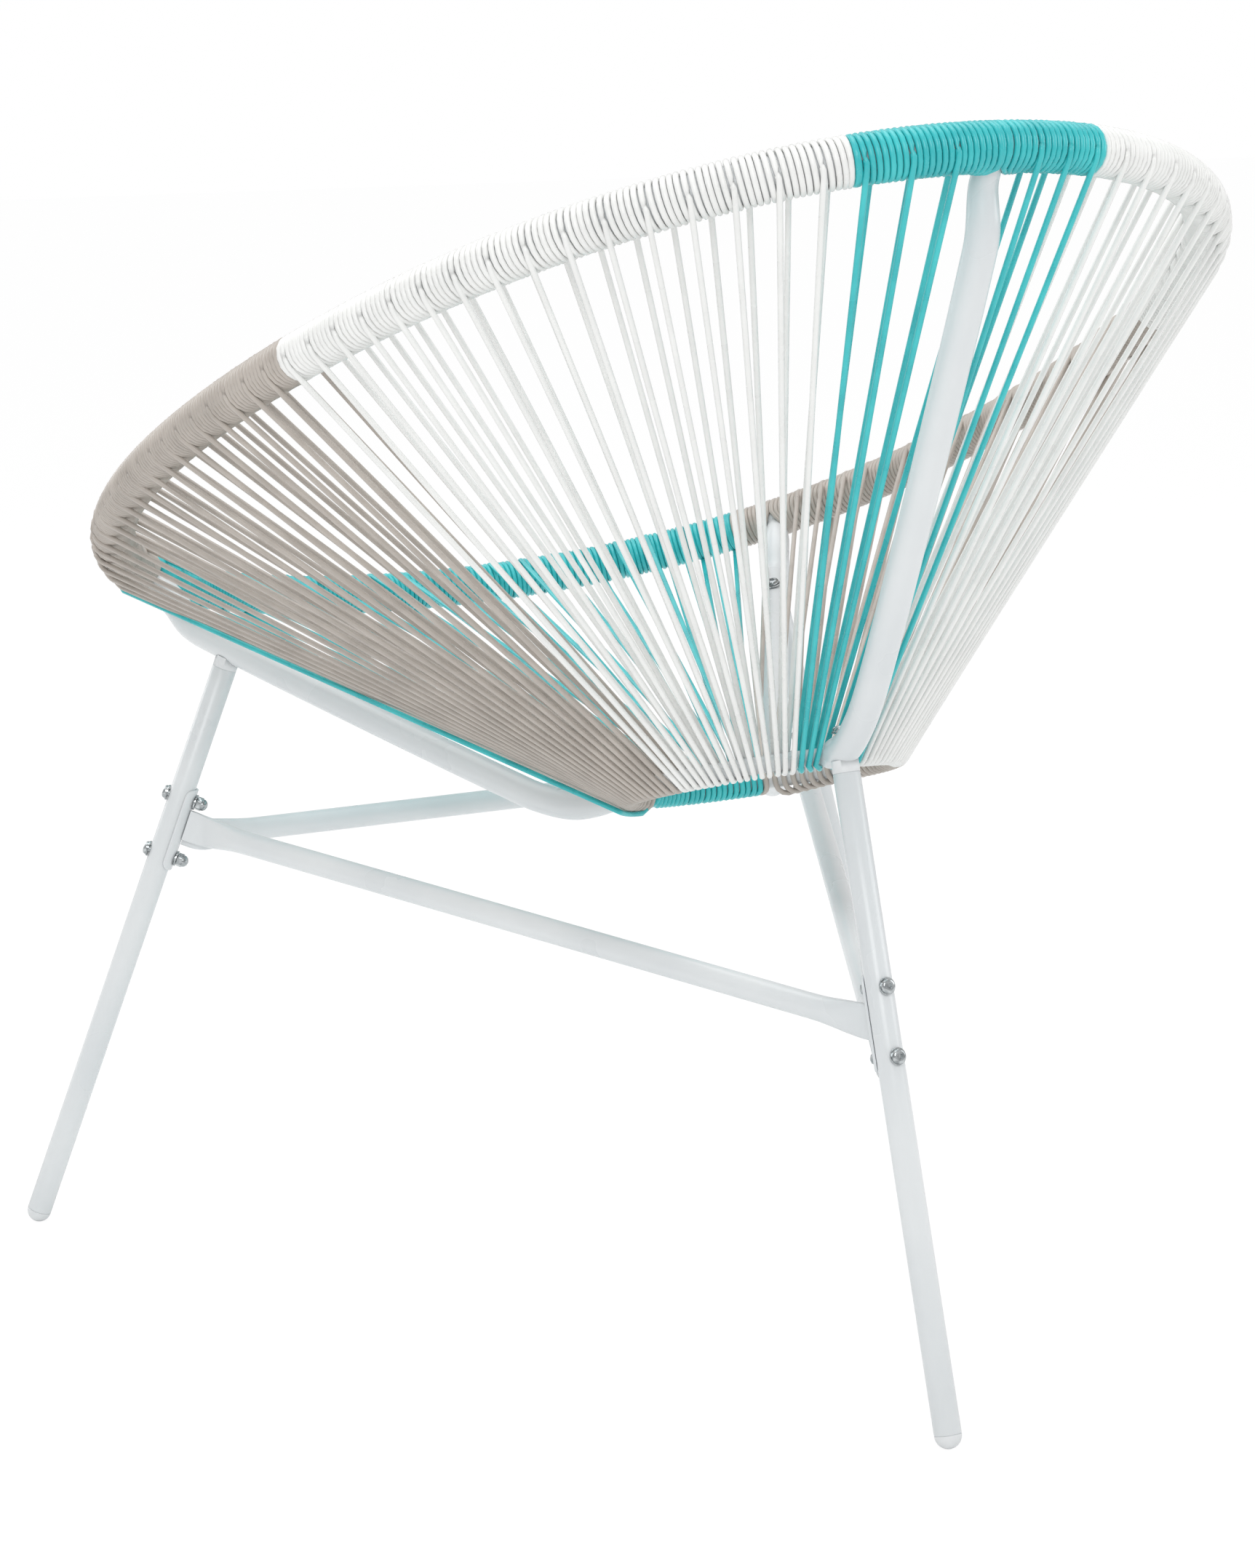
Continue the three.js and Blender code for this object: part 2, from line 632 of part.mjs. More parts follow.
// One length of cord: its wrap on the rim, with a swelling for each loop, and its loops to the ring
const boreEnds = [];
function addCord(name, look, start, end, runs, cutters = []) {
  const stations = [[start + gap / 2, valleyReach]];
  for (const { from, pitch, loops } of runs) {
    stations.push([from, valleyReach]);
    loops.forEach((_, i) => {
      stations.push([from + (i + crestShare) * pitch, crestReach], [from + (i + 1) * pitch, valleyReach]);
    });
  }
  stations.push([end - gap / 2, valleyReach]);
  const outer = stations.filter(([arc], i) => (
    i === 0 || i === stations.length - 1 || (arc > start + gap && arc < end - gap)));
  const bore = boreArcs(start, end);
  boreEnds.push(...bore);
  const rings = [
    ...outer.map(([arc, reach]) => rimSection(arc, reach)),
    ...bore.map((arc) => rimSection(arc, boreReach)).reverse(),
  ];
  const { sides, lowIndex, topIndex } = sectionShape;
  const points = rings.flat();
  const openings = new Map();
  const openingAt = (arc, side) => {
    const row = outer.findIndex(([edge]) => edge > arc) - 1;
    const hole = quadBetween(row * sides, (row + 1) * sides, side, sides);
    openings.set(`${row} ${side}`, hole);
    return hole;
  };
  const index = [];
  for (const loop of runs.flatMap((run) => run.loops)) {
    const low = openingAt(loop.leaveArc, lowIndex);
    const top = openingAt(loop.returnArc, topIndex);
    const rod = loopRings(loop, patchOf(low.map((i) => points[i])), patchOf(top.map((i) => points[i])));
    const first = points.length;
    points.push(...rod.flat());
    const cornerCount = rod[0].length;
    const ringStart = (i) => first + i * cornerCount;
    for (let i = 0; i < rod.length - 1; i += 1) {
      for (let side = 0; side < cornerCount; side += 1) {
        const [a, b, c, d] = quadBetween(ringStart(i), ringStart(i + 1), side, cornerCount);
        index.push(a, b, c, a, c, d);
      }
    }
    const tips = [0, rod.length - 1].map((i) => rod[i].map((_, side) => ringStart(i) + side));
    index.push(...collar(points, low, tips[0]), ...collar(points, top, tips[1].reverse()));
  }
  rings.forEach((_, row) => {
    for (let side = 0; side < sides; side += 1) {
      if (openings.has(`${row} ${side}`)) continue;
      const [a, b, c, d] = quadBetween(row * sides, ((row + 1) % rings.length) * sides, side, sides);
      index.push(a, b, c, a, c, d);
    }
  });
  const geometry = bufferGeometry(points, index);
  addMesh(chair, name, cutters.length ? cut(geometry, cutters) : geometry, look);
}

// Bare lengths of rim and ring beside each support, and the ring angles of the loops between them
const windowHalf = support.radius + cord.radius + support.cordGap;
const windowAngle = windowHalf / ring.radius;
const tipWindowAngle = (frontSupport.tipRadius + cord.radius + support.cordGap) / ring.radius;
const supportAngle = THREE.MathUtils.degToRad(frontSupport.ringDegrees);
const besideSupport = windowHalf - cord.edgeInset;
const firstWhite = THREE.MathUtils.degToRad(whiteFromDegrees);
const sideAngles = [
  ...spread(cordCount.gray + 1, supportAngle + tipWindowAngle, firstWhite).slice(0, cordCount.gray),
  ...spread(cordCount.white + cordCount.tealBack, firstWhite, Math.PI - windowAngle),
];
const frontAngles = spread(cordCount.front, tipWindowAngle - supportAngle, supportAngle - tipWindowAngle);
const frontRun = makeRun(besideSupport - frontArc, frontArc - besideSupport, frontAngles);
const grayRun = makeRun(
  frontArc + besideSupport, grayToWhite, sideAngles.slice(0, cordCount.gray));
const whiteRun = makeRun(
  grayToWhite, whiteToTeal,
  sideAngles.slice(cordCount.gray, -cordCount.tealBack));
const tealRun = makeRun(
  whiteToTeal, halfRim - besideSupport, sideAngles.slice(-cordCount.tealBack));

const clearSupports = supports.map((item) => supportTube(item, gap));

// Neighbouring loops come closest where they pass under the ring.
const loopAngles = [...frontAngles, ...sideAngles];
const loopGaps = loopAngles.slice(1).map((angle, i) => (
  ringPoint(angle).distanceTo(ringPoint(loopAngles[i])) - cordReach * Math.SQRT2));
console.log(`least gap between loops: ${Math.min(...loopGaps).toFixed(2)} mm`);

// Every stretch of cord, with the arc lengths at which it starts and ends
const tealPart = (cordCount.front - cordCount.frontGray) / 3;
const tealParts = [0, 1, 2].map((i) => partOf(
  frontRun, cordCount.frontGray + i * tealPart, cordCount.frontGray + (i + 1) * tealPart));
tealParts.forEach((part, i) => {
  const end = i === 2 ? frontArc : part.to;
  const cutters = i === 2 ? [clearSupports[0]] : [];
  addCord(`cord_teal_front_${i + 1}`, finish.teal, part.from, end, [part], cutters);
});
const grayLead = partOf(frontRun, 0, cordCount.frontGray);
const grayPart = cordCount.gray / 3;
for (let i = 0; i < 3; i += 1) {
  const part = partOf(grayRun, i * grayPart, (i + 1) * grayPart);
  const start = i === 0 ? frontArc : part.from;
  const cutters = i === 0 ? clearSupports : [];
  addCord(`cord_gray_left_${i + 1}`, finish.gray, start, part.to, [part], cutters.slice(0, 1));
  const twin = mirrored(part);
  const twinEnd = i === 0 ? grayLead.to : twin.to;
  const twinRuns = i === 0 ? [twin, grayLead] : [twin];
  addCord(`cord_gray_right_${i + 1}`, finish.gray, twin.from, twinEnd, twinRuns, cutters.slice(1, 2));
}
const whitePart = cordCount.white / 2;
for (let i = 0; i < 2; i += 1) {
  const part = partOf(whiteRun, i * whitePart, (i + 1) * whitePart);
  const twin = mirrored(part);
  addCord(`cord_white_left_${i + 1}`, finish.white, part.from, part.to, [part]);
  addCord(`cord_white_right_${i + 1}`, finish.white, twin.from, twin.to, [twin]);
}
const tealTwin = mirrored(tealRun, rimLength);
addCord('cord_teal_back', finish.teal, tealRun.from, tealTwin.to, [tealRun, tealTwin], [clearSupports[2]]);

// Seat frame
const tubeArcs = boreEnds
  .map((arc) => THREE.MathUtils.euclideanModulo(arc, rimLength))
  .sort((one, other) => one - other);
const rimTube = (reach) => skin(tubeArcs.map((arc) => rimSection(arc, reach)), true);
addMesh(chair, 'rim_tube', rimTube(rimReach), finish.steel);
const ringShape = new THREE.TorusGeometry(ring.radius, ring.rodRadius, ring.sides, ring.steps);
const ringMesh = addMesh(chair, 'inner_ring', ringShape, finish.steel);
ringMesh.position.copy(ringCentre);
ringMesh.rotation.x = ringTilt;
ringMesh.updateMatrixWorld(true);
const clearRod = (ring.rodRadius + gap) / Math.cos(Math.PI / ring.sides);
const ringClearance = new THREE.TorusGeometry(ring.radius, clearRod, ring.sides, ring.steps)
  .applyMatrix4(ringMesh.matrixWorld);
for (const { carrier, group, length } of legs) {
  const seat = length + support.radius + washer.lift;
  const spot = washer.outerRadius + gap;
  const boltHole = lathe([
    [0, length - support.radius - overrun], [bolt.holeRadius, length - support.radius - overrun],
    [bolt.holeRadius, seat], [spot, seat], [spot, seat + overrun], [0, seat + overrun],
  ], bolt.sides).applyMatrix4(group.matrixWorld);
  const tube = cut(supportTube(carrier), [rimTube(boreReach), ringClearance, boltHole]);
  addMesh(chair, `support_tube_${carrier.place}`, tube, finish.steel);
}

// Legs and braces
for (const item of legs) {
  addLeg(item);
  addBracket(item);
  addFasteners(item);
}
const [frontLeft, frontRight, rear] = legs;
addBrace('brace_tube_left', frontLeft, rear);
addBrace('brace_tube_right', frontRight, rear);
addBrace('brace_tube_front', frontLeft, frontRight);

export default chair;
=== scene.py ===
import bisect
import math
import random
from types import SimpleNamespace

import bmesh
import bpy
from mathutils import Matrix, Vector


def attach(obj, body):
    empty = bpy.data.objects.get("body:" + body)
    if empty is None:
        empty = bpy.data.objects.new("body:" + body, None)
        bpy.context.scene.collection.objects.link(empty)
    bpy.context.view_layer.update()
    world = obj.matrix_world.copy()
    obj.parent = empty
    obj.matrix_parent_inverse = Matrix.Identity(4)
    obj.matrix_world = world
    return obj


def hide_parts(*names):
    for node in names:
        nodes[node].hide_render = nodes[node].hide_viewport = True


mm = 0.001
up = Vector((0, 0, 1))
weldGap = 0.01
roundSides, sharpEdges, softEdges = 50, 35, 40  # edges over these angles in degrees stay sharp

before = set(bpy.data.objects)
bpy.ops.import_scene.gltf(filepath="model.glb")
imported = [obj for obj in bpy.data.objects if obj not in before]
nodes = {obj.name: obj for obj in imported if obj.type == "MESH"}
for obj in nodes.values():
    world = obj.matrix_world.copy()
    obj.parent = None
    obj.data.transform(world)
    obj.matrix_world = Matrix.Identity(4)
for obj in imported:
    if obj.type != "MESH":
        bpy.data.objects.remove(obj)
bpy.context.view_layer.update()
bpy.ops.object.select_all(action="DESELECT")
random.seed(11)
print("frame loaded,", len(nodes), "nodes")


# Camera, floor and light

photoView = {
    "width": 1725, "height": 2156, "focalPixels": 4922.7, "axisX": 859.14, "axisY": 1073.07,
    "place": (1216.8, 2330.9, 960.0), "azimuth": 153.0689, "elevation": 12.3689, "roll": -0.5208,
    "sensorHeight": 24, "clipEnd": 60,
}


def addCamera():
    v = photoView
    az, el, roll = (math.radians(v[k]) for k in ("azimuth", "elevation", "roll"))
    back = Vector((math.sin(az) * math.cos(el), -math.cos(az) * math.cos(el), math.sin(el)))
    right = Vector((math.cos(az), math.sin(az), 0))
    top = back.cross(right)
    rightRolled = right * math.cos(roll) + top * math.sin(roll)
    topRolled = top * math.cos(roll) - right * math.sin(roll)
    bpy.ops.object.camera_add(location=(0, 0, 0))
    camera = bpy.context.object
    turn = Matrix((rightRolled, topRolled, back)).transposed().to_4x4()
    camera.matrix_world = Matrix.Translation(Vector(v["place"]) * mm) @ turn
    camera.data.sensor_fit = "VERTICAL"
    camera.data.sensor_height = v["sensorHeight"]
    camera.data.lens = v["focalPixels"] * v["sensorHeight"] / v["height"]
    camera.data.shift_x = (v["width"] / 2 - v["axisX"]) / v["height"]
    camera.data.shift_y = (v["axisY"] - v["height"] / 2) / v["height"]
    camera.data.clip_end = v["clipEnd"]
    bpy.context.scene.camera = camera


studio = {
    "floorSize": 30, "floorColour": (0.93, 0.93, 0.93), "floorRoughness": 0.9, "floorGlow": 0.86,
    "glowLight": 1.05,
    "worldColour": (1.0, 1.0, 1.0), "worldLight": 0.68,
    "lamps": (
        ("keyLamp", (1.9, 2.9, 2.6), 1.9, 38),
        ("sideLamp", (-2.6, 1.2, 1.6), 1.6, 15),
        ("topLamp", (0.2, -0.4, 3.2), 2.4, 33),
        ("frontLamp", (1.2, -2.8, 1.6), 1.8, 15),
    ),
    "aim": (0, 0, 0.45),
}


def addFloor():
    # The camera sees the floor mostly as a white glow, so that it keeps only a soft shadow
    bpy.ops.mesh.primitive_plane_add(size=studio["floorSize"], location=(0, 0, 0))
    floor = bpy.context.object
    floor.name = "studioFloor"
    bpy.ops.object.shade_flat()
    paint = bpy.data.materials.new("studioFloorPaint")
    paint.use_nodes = True
    tree = paint.node_tree
    shader = tree.nodes["Principled BSDF"]
    shader.inputs["Base Color"].default_value = (*studio["floorColour"], 1)
    shader.inputs["Roughness"].default_value = studio["floorRoughness"]
    glow = tree.nodes.new("ShaderNodeEmission")
    glow.inputs["Color"].default_value = (1, 1, 1, 1)
    glow.inputs["Strength"].default_value = studio["glowLight"]
    path = tree.nodes.new("ShaderNodeLightPath")
    share = tree.nodes.new("ShaderNodeMath")
    share.operation = "MULTIPLY"
    share.inputs[1].default_value = studio["floorGlow"]
    mix = tree.nodes.new("ShaderNodeMixShader")
    tree.links.new(path.outputs["Is Camera Ray"], share.inputs[0])
    tree.links.new(share.outputs[0], mix.inputs["Fac"])
    tree.links.new(shader.outputs["BSDF"], mix.inputs[1])
    tree.links.new(glow.outputs["Emission"], mix.inputs[2])
    tree.links.new(mix.outputs["Shader"], tree.nodes["Material Output"].inputs["Surface"])
    floor.data.materials.append(paint)


def addLight():
    # The camera sees a white world, and the object a softer one
    world = bpy.data.worlds.new("studioWorld")
    bpy.context.scene.world = world
    world.use_nodes = True
    tree = world.node_tree
    soft = tree.nodes["Background"]
    soft.inputs["Color"].default_value = (*studio["worldColour"], 1)
    soft.inputs["Strength"].default_value = studio["worldLight"]
    seen = tree.nodes.new("ShaderNodeBackground")
    seen.inputs["Color"].default_value = (1, 1, 1, 1)
    seen.inputs["Strength"].default_value = 1
    path = tree.nodes.new("ShaderNodeLightPath")
    mix = tree.nodes.new("ShaderNodeMixShader")
    tree.links.new(path.outputs["Is Camera Ray"], mix.inputs["Fac"])
    tree.links.new(soft.outputs["Background"], mix.inputs[1])
    tree.links.new(seen.outputs["Background"], mix.inputs[2])
    tree.links.new(mix.outputs["Shader"], tree.nodes["World Output"].inputs["Surface"])
    for name, place, size, power in studio["lamps"]:
        bpy.ops.object.light_add(type="AREA", location=place)
        lamp = bpy.context.object
        lamp.name = name
        lamp.data.size = size
        lamp.data.energy = power
        aim = Vector(studio["aim"]) - Vector(place)
        lamp.rotation_euler = aim.to_track_quat("-Z", "Y").to_euler()
    bpy.context.scene.view_settings.view_transform = "Standard"


addCamera()
addFloor()
addLight()
print("camera, floor and light set")


# Materials: every one reads the piece's own object coordinates, in metres

finishes = {
    "frameCoat": {
        "colour": (0.74, 0.765, 0.775), "shade": (0.68, 0.71, 0.725), "metal": 0, "roughness": (0.24, 0.36),
        "coat": 0.25, "patchScale": 9, "grainScale": 620, "bump": 0.05, "bumpDepth": 0.0003,
    },
    "tealCord": {
        "colour": (0.05, 0.57, 0.59), "shade": (0.03, 0.46, 0.49), "metal": 0, "roughness": (0.24, 0.34),
        "coat": 0.2, "patchScale": 34, "grainScale": 500, "bump": 0.03, "bumpDepth": 0.0002,
    },
    "grayCord": {
        "colour": (0.51, 0.465, 0.42), "shade": (0.43, 0.39, 0.35), "metal": 0, "roughness": (0.26, 0.36),
        "coat": 0.18, "patchScale": 34, "grainScale": 500, "bump": 0.03, "bumpDepth": 0.0002,
    },
    "whiteCord": {
        "colour": (0.87, 0.875, 0.86), "shade": (0.82, 0.825, 0.81), "metal": 0, "roughness": (0.24, 0.34),
        "coat": 0.2, "patchScale": 34, "grainScale": 500, "bump": 0.03, "bumpDepth": 0.0002,
    },
    "capPlastic": {
        "colour": (0.76, 0.775, 0.785), "shade": (0.69, 0.71, 0.72), "metal": 0, "roughness": (0.38, 0.52),
        "coat": 0, "patchScale": 60, "grainScale": 1500, "bump": 0.12, "bumpDepth": 0.0002,
    },
    # The zinc's shade patches, half as bright as its colour, are partly painted reflection: besides a
    # random tone, they stand in for the contrast that chrome gets from reflecting its surroundings.
    "zincPlate": {
        "colour": (0.60, 0.63, 0.64), "shade": (0.30, 0.32, 0.33), "metal": 1, "roughness": (0.10, 0.26),
        "coat": 0, "patchScale": 260, "grainScale": 2600, "bump": 0.15, "bumpDepth": 0.0001,
    },
}


finishShape = {
    "coatRoughness": 0.2, "patchDetail": 4, "grainDetail": 2,
    "tintFrom": (0.35, 0.65), "glossFrom": (0.3, 0.7),
}


def makeFinish(name, look):
    # Wide patches change the colour and the gloss a little, and a fine grain makes the bump. On the zinc
    # the patches are strong and partly painted reflection.
    f = finishShape
    material = bpy.data.materials.new(name)
    material.use_nodes = True
    tree = material.node_tree
    shader = tree.nodes["Principled BSDF"]
    shader.inputs["Metallic"].default_value = look["metal"]
    shader.inputs["Coat Weight"].default_value = look["coat"]
    shader.inputs["Coat Roughness"].default_value = f["coatRoughness"]
    place = tree.nodes.new("ShaderNodeTexCoord")
    patches = tree.nodes.new("ShaderNodeTexNoise")
    patches.inputs["Scale"].default_value = look["patchScale"]
    patches.inputs["Detail"].default_value = f["patchDetail"]
    grain = tree.nodes.new("ShaderNodeTexNoise")
    grain.inputs["Scale"].default_value = look["grainScale"]
    grain.inputs["Detail"].default_value = f["grainDetail"]
    spread = tree.nodes.new("ShaderNodeMapRange")
    spread.inputs["From Min"].default_value = f["tintFrom"][0]
    spread.inputs["From Max"].default_value = f["tintFrom"][1]
    tint = tree.nodes.new("ShaderNodeMix")
    tint.data_type = "RGBA"
    tint.inputs["A"].default_value = (*look["shade"], 1)
    tint.inputs["B"].default_value = (*look["colour"], 1)
    gloss = tree.nodes.new("ShaderNodeMapRange")
    gloss.inputs["From Min"].default_value = f["glossFrom"][0]
    gloss.inputs["From Max"].default_value = f["glossFrom"][1]
    gloss.inputs["To Min"].default_value = look["roughness"][0]
    gloss.inputs["To Max"].default_value = look["roughness"][1]
    relief = tree.nodes.new("ShaderNodeBump")
    relief.inputs["Strength"].default_value = look["bump"]
    relief.inputs["Distance"].default_value = look["bumpDepth"]
    link = tree.links.new
    link(place.outputs["Object"], patches.inputs["Vector"])
    link(place.outputs["Object"], grain.inputs["Vector"])
    link(patches.outputs["Fac"], spread.inputs["Value"])
    link(spread.outputs["Result"], tint.inputs["Factor"])
    link(tint.outputs["Result"], shader.inputs["Base Color"])
    link(patches.outputs["Fac"], gloss.inputs["Value"])
    link(gloss.outputs["Result"], shader.inputs["Roughness"])
    link(grain.outputs["Fac"], relief.inputs["Height"])
    link(relief.outputs["Normal"], shader.inputs["Normal"])
    return material


materials = {name: makeFinish(name, look) for name, look in finishes.items()}
print("finishes made")


# Helpers for pieces

def eased(share):
    # A share from 0 to 1 with a soft start and end
    return share * share * (3 - 2 * share)


def only(piece):
    bpy.ops.object.select_all(action="DESELECT")
    piece.select_set(True)
    bpy.context.view_layer.objects.active = piece


def applyAll(piece):
    only(piece)
    for modifier in list(piece.modifiers):
        bpy.ops.object.modifier_apply(modifier=modifier.name)


def place(piece, matrix):
    # Moves the piece's mesh to its place and leaves its object at the origin
    piece.matrix_world = matrix @ piece.matrix_world
    only(piece)
    bpy.ops.object.transform_apply(location=True, rotation=True, scale=True)


def finishPiece(piece, name, finish, replaced):
    piece.name = name
    piece.data.name = name
    piece.data.materials.clear()
    piece.data.materials.append(materials[finish])
    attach(piece, "root")
    if replaced:
        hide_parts(*replaced)
    piece.select_set(False)
    return piece


def lineCurve(chains, radius, facets, closed=False, swell=None):
    # Chains of points become round tubes of one mesh. `swell` holds a share of the radius per point.
    bpy.ops.curve.primitive_bezier_curve_add(location=(0, 0, 0))
    piece = bpy.context.object
    curve = piece.data
    curve.splines.clear()
    curve.dimensions = "3D"
    for chain in chains:
        spline = curve.splines.new("POLY")
        spline.points.add(len(chain) - 1)
        for i, (point, spot) in enumerate(zip(spline.points, chain)):
            point.co = (*(spot * mm), 1)
            point.radius = swell[i] if swell else 1
        spline.use_cyclic_u = closed
        spline.use_smooth = True
    curve.bevel_depth = radius * mm
    curve.bevel_resolution = facets // 2 - 2  # a resolution of n makes 2 n + 4 sides
    curve.use_fill_caps = not closed
    only(piece)
    bpy.ops.object.convert(target="MESH")
    piece = bpy.context.object
    bpy.ops.object.shade_smooth()
    return piece


def turned(outline, steps, angle=softEdges):
    # An outline of (radius, height) pairs, turned round Z. It is open where it starts and ends on Z.
    bpy.ops.mesh.primitive_circle_add(vertices=len(outline), radius=mm, fill_type="NOTHING")
    piece = bpy.context.object
    bpy.ops.object.mode_set(mode="EDIT")
    mesh = bmesh.from_edit_mesh(piece.data)
    mesh.verts.ensure_lookup_table()
    for vert, (radius, height) in zip(mesh.verts, outline):
        vert.co = Vector((radius, 0, height)) * mm
    first, last = mesh.verts[0], mesh.verts[len(outline) - 1]
    closing = [edge for edge in mesh.edges if first in edge.verts and last in edge.verts]
    if outline[0][0] == 0 and outline[-1][0] == 0:
        bmesh.ops.delete(mesh, geom=closing, context="EDGES")
    bmesh.update_edit_mesh(piece.data)
    bpy.ops.mesh.select_all(action="SELECT")
    bpy.ops.mesh.spin(steps=steps, angle=2 * math.pi, center=(0, 0, 0), axis=(0, 0, 1))
    bpy.ops.mesh.select_all(action="SELECT")
    bpy.ops.mesh.remove_doubles(threshold=weldGap * mm)
    bpy.ops.mesh.normals_make_consistent(inside=False)
    bpy.ops.object.mode_set(mode="OBJECT")
    bpy.ops.object.shade_smooth_by_angle(angle=math.radians(angle))
    return piece


def cutWith(piece, cutter):
    only(piece)
    bpy.ops.object.modifier_add(type="BOOLEAN")
    modifier = piece.modifiers[-1]
    modifier.operation = "DIFFERENCE"
    modifier.solver = "EXACT"
    modifier.object = cutter
    bpy.ops.object.modifier_apply(modifier=modifier.name)


def drop(piece):
    bpy.data.objects.remove(piece, do_unlink=True)


def joined(pieces):
    bpy.ops.object.select_all(action="DESELECT")
    for piece in pieces:
        piece.select_set(True)
    bpy.context.view_layer.objects.active = pieces[0]
    bpy.ops.object.join()
    return bpy.context.object


def copied(piece):
    twin = piece.copy()
    twin.data = piece.data.copy()
    bpy.context.scene.collection.objects.link(twin)
    return twin


# The rim and the ring, as routes

rimShape = {
    "halfWidth": 379, "halfDepth": 443.7, "midHeight": 666, "halfRise": 201, "backBulge": 38,
    "frontDraw": 18, "dish": 12, "lift": 1.6, "eggShare": 0.024, "squareShare": 0.029,
    "tubeRadius": 12.5, "samples": 4800, "steps": 300, "sides": 32, "probe": 0.3,
}
ringShape = {
    "radius": 97, "rodRadius": 6, "centre": (0, 150, 416.8), "tilt": 18, "steps": 180, "sides": 24,
}


def rimAt(turn):
    # A turn of zero is the front, and a quarter turn the sitter's left
    r = rimShape
    s = -math.cos(turn)
    wave = math.sin(turn) + r["eggShare"] * math.sin(2 * turn) + r["squareShare"] * math.sin(3 * turn)
    return Vector((
        r["halfWidth"] * wave,
        r["halfDepth"] * s + r["backBulge"] * (s * s - 1) - r["frontDraw"] * (s ** 3 - s),
        r["midHeight"] + r["halfRise"] * s + r["dish"] * (s * s - 1) + r["lift"] * (s ** 3 - s),
    ))


rimTurns = [2 * math.pi * i / rimShape["samples"] for i in range(rimShape["samples"] + 1)]
rimArcs = [0]
for before, after in zip(rimTurns, rimTurns[1:]):
    rimArcs.append(rimArcs[-1] + (rimAt(after) - rimAt(before)).length)
rimLength = rimArcs[-1]
halfRim = rimLength / 2
ringCentre = Vector(ringShape["centre"])
ringTilt = math.radians(ringShape["tilt"])


def rimPoint(arc):
    arc = arc % rimLength
    i = min(bisect.bisect_right(rimArcs, arc) - 1, len(rimArcs) - 2)
    share = (arc - rimArcs[i]) / (rimArcs[i + 1] - rimArcs[i])
    return rimAt(rimTurns[i] + share * (rimTurns[i + 1] - rimTurns[i]))


def rimFrame(arc):
    # Centre, tangent, the way up out of the seat side, and the way towards the ring
    centre = rimPoint(arc)
    tangent = (rimPoint(arc + rimShape["probe"]) - rimPoint(arc - rimShape["probe"])).normalized()
    high = tangent.cross(ringCentre - centre).normalized()
    return centre, tangent, high, high.cross(tangent)


def ringPoint(angle):
    forward = -math.cos(angle)
    way = Vector((math.sin(angle), forward * math.cos(ringTilt), forward * math.sin(ringTilt)))
    return ringCentre + ringShape["radius"] * way


def ringTangent(angle):
    forward = math.sin(angle)
    return Vector((math.cos(angle), forward * math.cos(ringTilt), forward * math.sin(ringTilt)))


# The support tubes' routes

frontBends = {
    "rimShare": 0.2338, "ringAngle": 32.5, "legSeat": 87.5,
    "neckLength": 22, "tipRadius": 6.5, "tipLength": 60,
    "fromRim": ((32, -24), (48, -40), (79, -52)),
    "fromRing": ((122, -5.4), (96, -12.2), (68, -15), (48, -12), (25, -6)),
}
rearBends = {
    "legSeat": 22.5, "neckLength": 52, "tipRadius": 8.7, "tipLength": 22,
    "fromRim": ((11, -24), (11.4, -54), (20.3, -80)),
    "fromRing": ((58.4, 54.4), (41, 26.5), (26, 10.5), (13, 5)),
}
supportShape = {
    "radius": 11, "neckRadius": 8.7, "weldInset": 8, "steps": 14, "sides": 32, "leaveStep": 8,
}


def supportRoute(bends, rimEnd, ringEnd):
    # The bends are pairs of a level distance from the tube's end and a rise
    inward = ringEnd - rimEnd
    inward.z = 0
    inward.normalize()
    fromRim = [rimEnd + inward * out + up * rise for out, rise in bends["fromRim"]]
    fromRing = [ringEnd - inward * out + up * rise for out, rise in bends["fromRing"]]
    weld = rimEnd + (fromRim[0] - rimEnd).normalized() * supportShape["weldInset"]
    return [weld, *fromRim, *fromRing, ringEnd - inward * ringShape["rodRadius"] / 2]


def smoothRoute(points, steps):
    # A centripetal curve through the points
    line = [points[0] * 2 - points[1], *points, points[-1] * 2 - points[-2]]
    smooth = []
    for a, b, c, d in zip(line, line[1:], line[2:], line[3:]):
        spanA, spanB, spanC = ((q - p).length ** 0.5 for p, q in ((a, b), (b, c), (c, d)))
        leave = ((b - a) / spanA - (c - a) / (spanA + spanB) + (c - b) / spanB) * spanB
        reach = ((c - b) / spanB - (d - b) / (spanB + spanC) + (d - c) / spanC) * spanB
        for i in range(steps):
            t = i / steps
            smooth.append(
                b + leave * t + (-3 * b + 3 * c - 2 * leave - reach) * t ** 2
                + (2 * b - 2 * c + leave + reach) * t ** 3)
    return smooth + [points[-1]]


frontAngle = math.radians(frontBends["ringAngle"])
frontArc = frontBends["rimShare"] * halfRim
supportRuns = {
    "front_left": (frontBends, rimPoint(frontArc), ringPoint(frontAngle)),
    "front_right": (frontBends, rimPoint(-frontArc), ringPoint(-frontAngle)),
    "rear": (rearBends, rimPoint(halfRim), ringPoint(math.pi)),
}
supportLines = {
    name: smoothRoute(supportRoute(*run), supportShape["steps"]) for name, run in supportRuns.items()}


# Cords: wound round the rim, led to the ring, round its rod and back

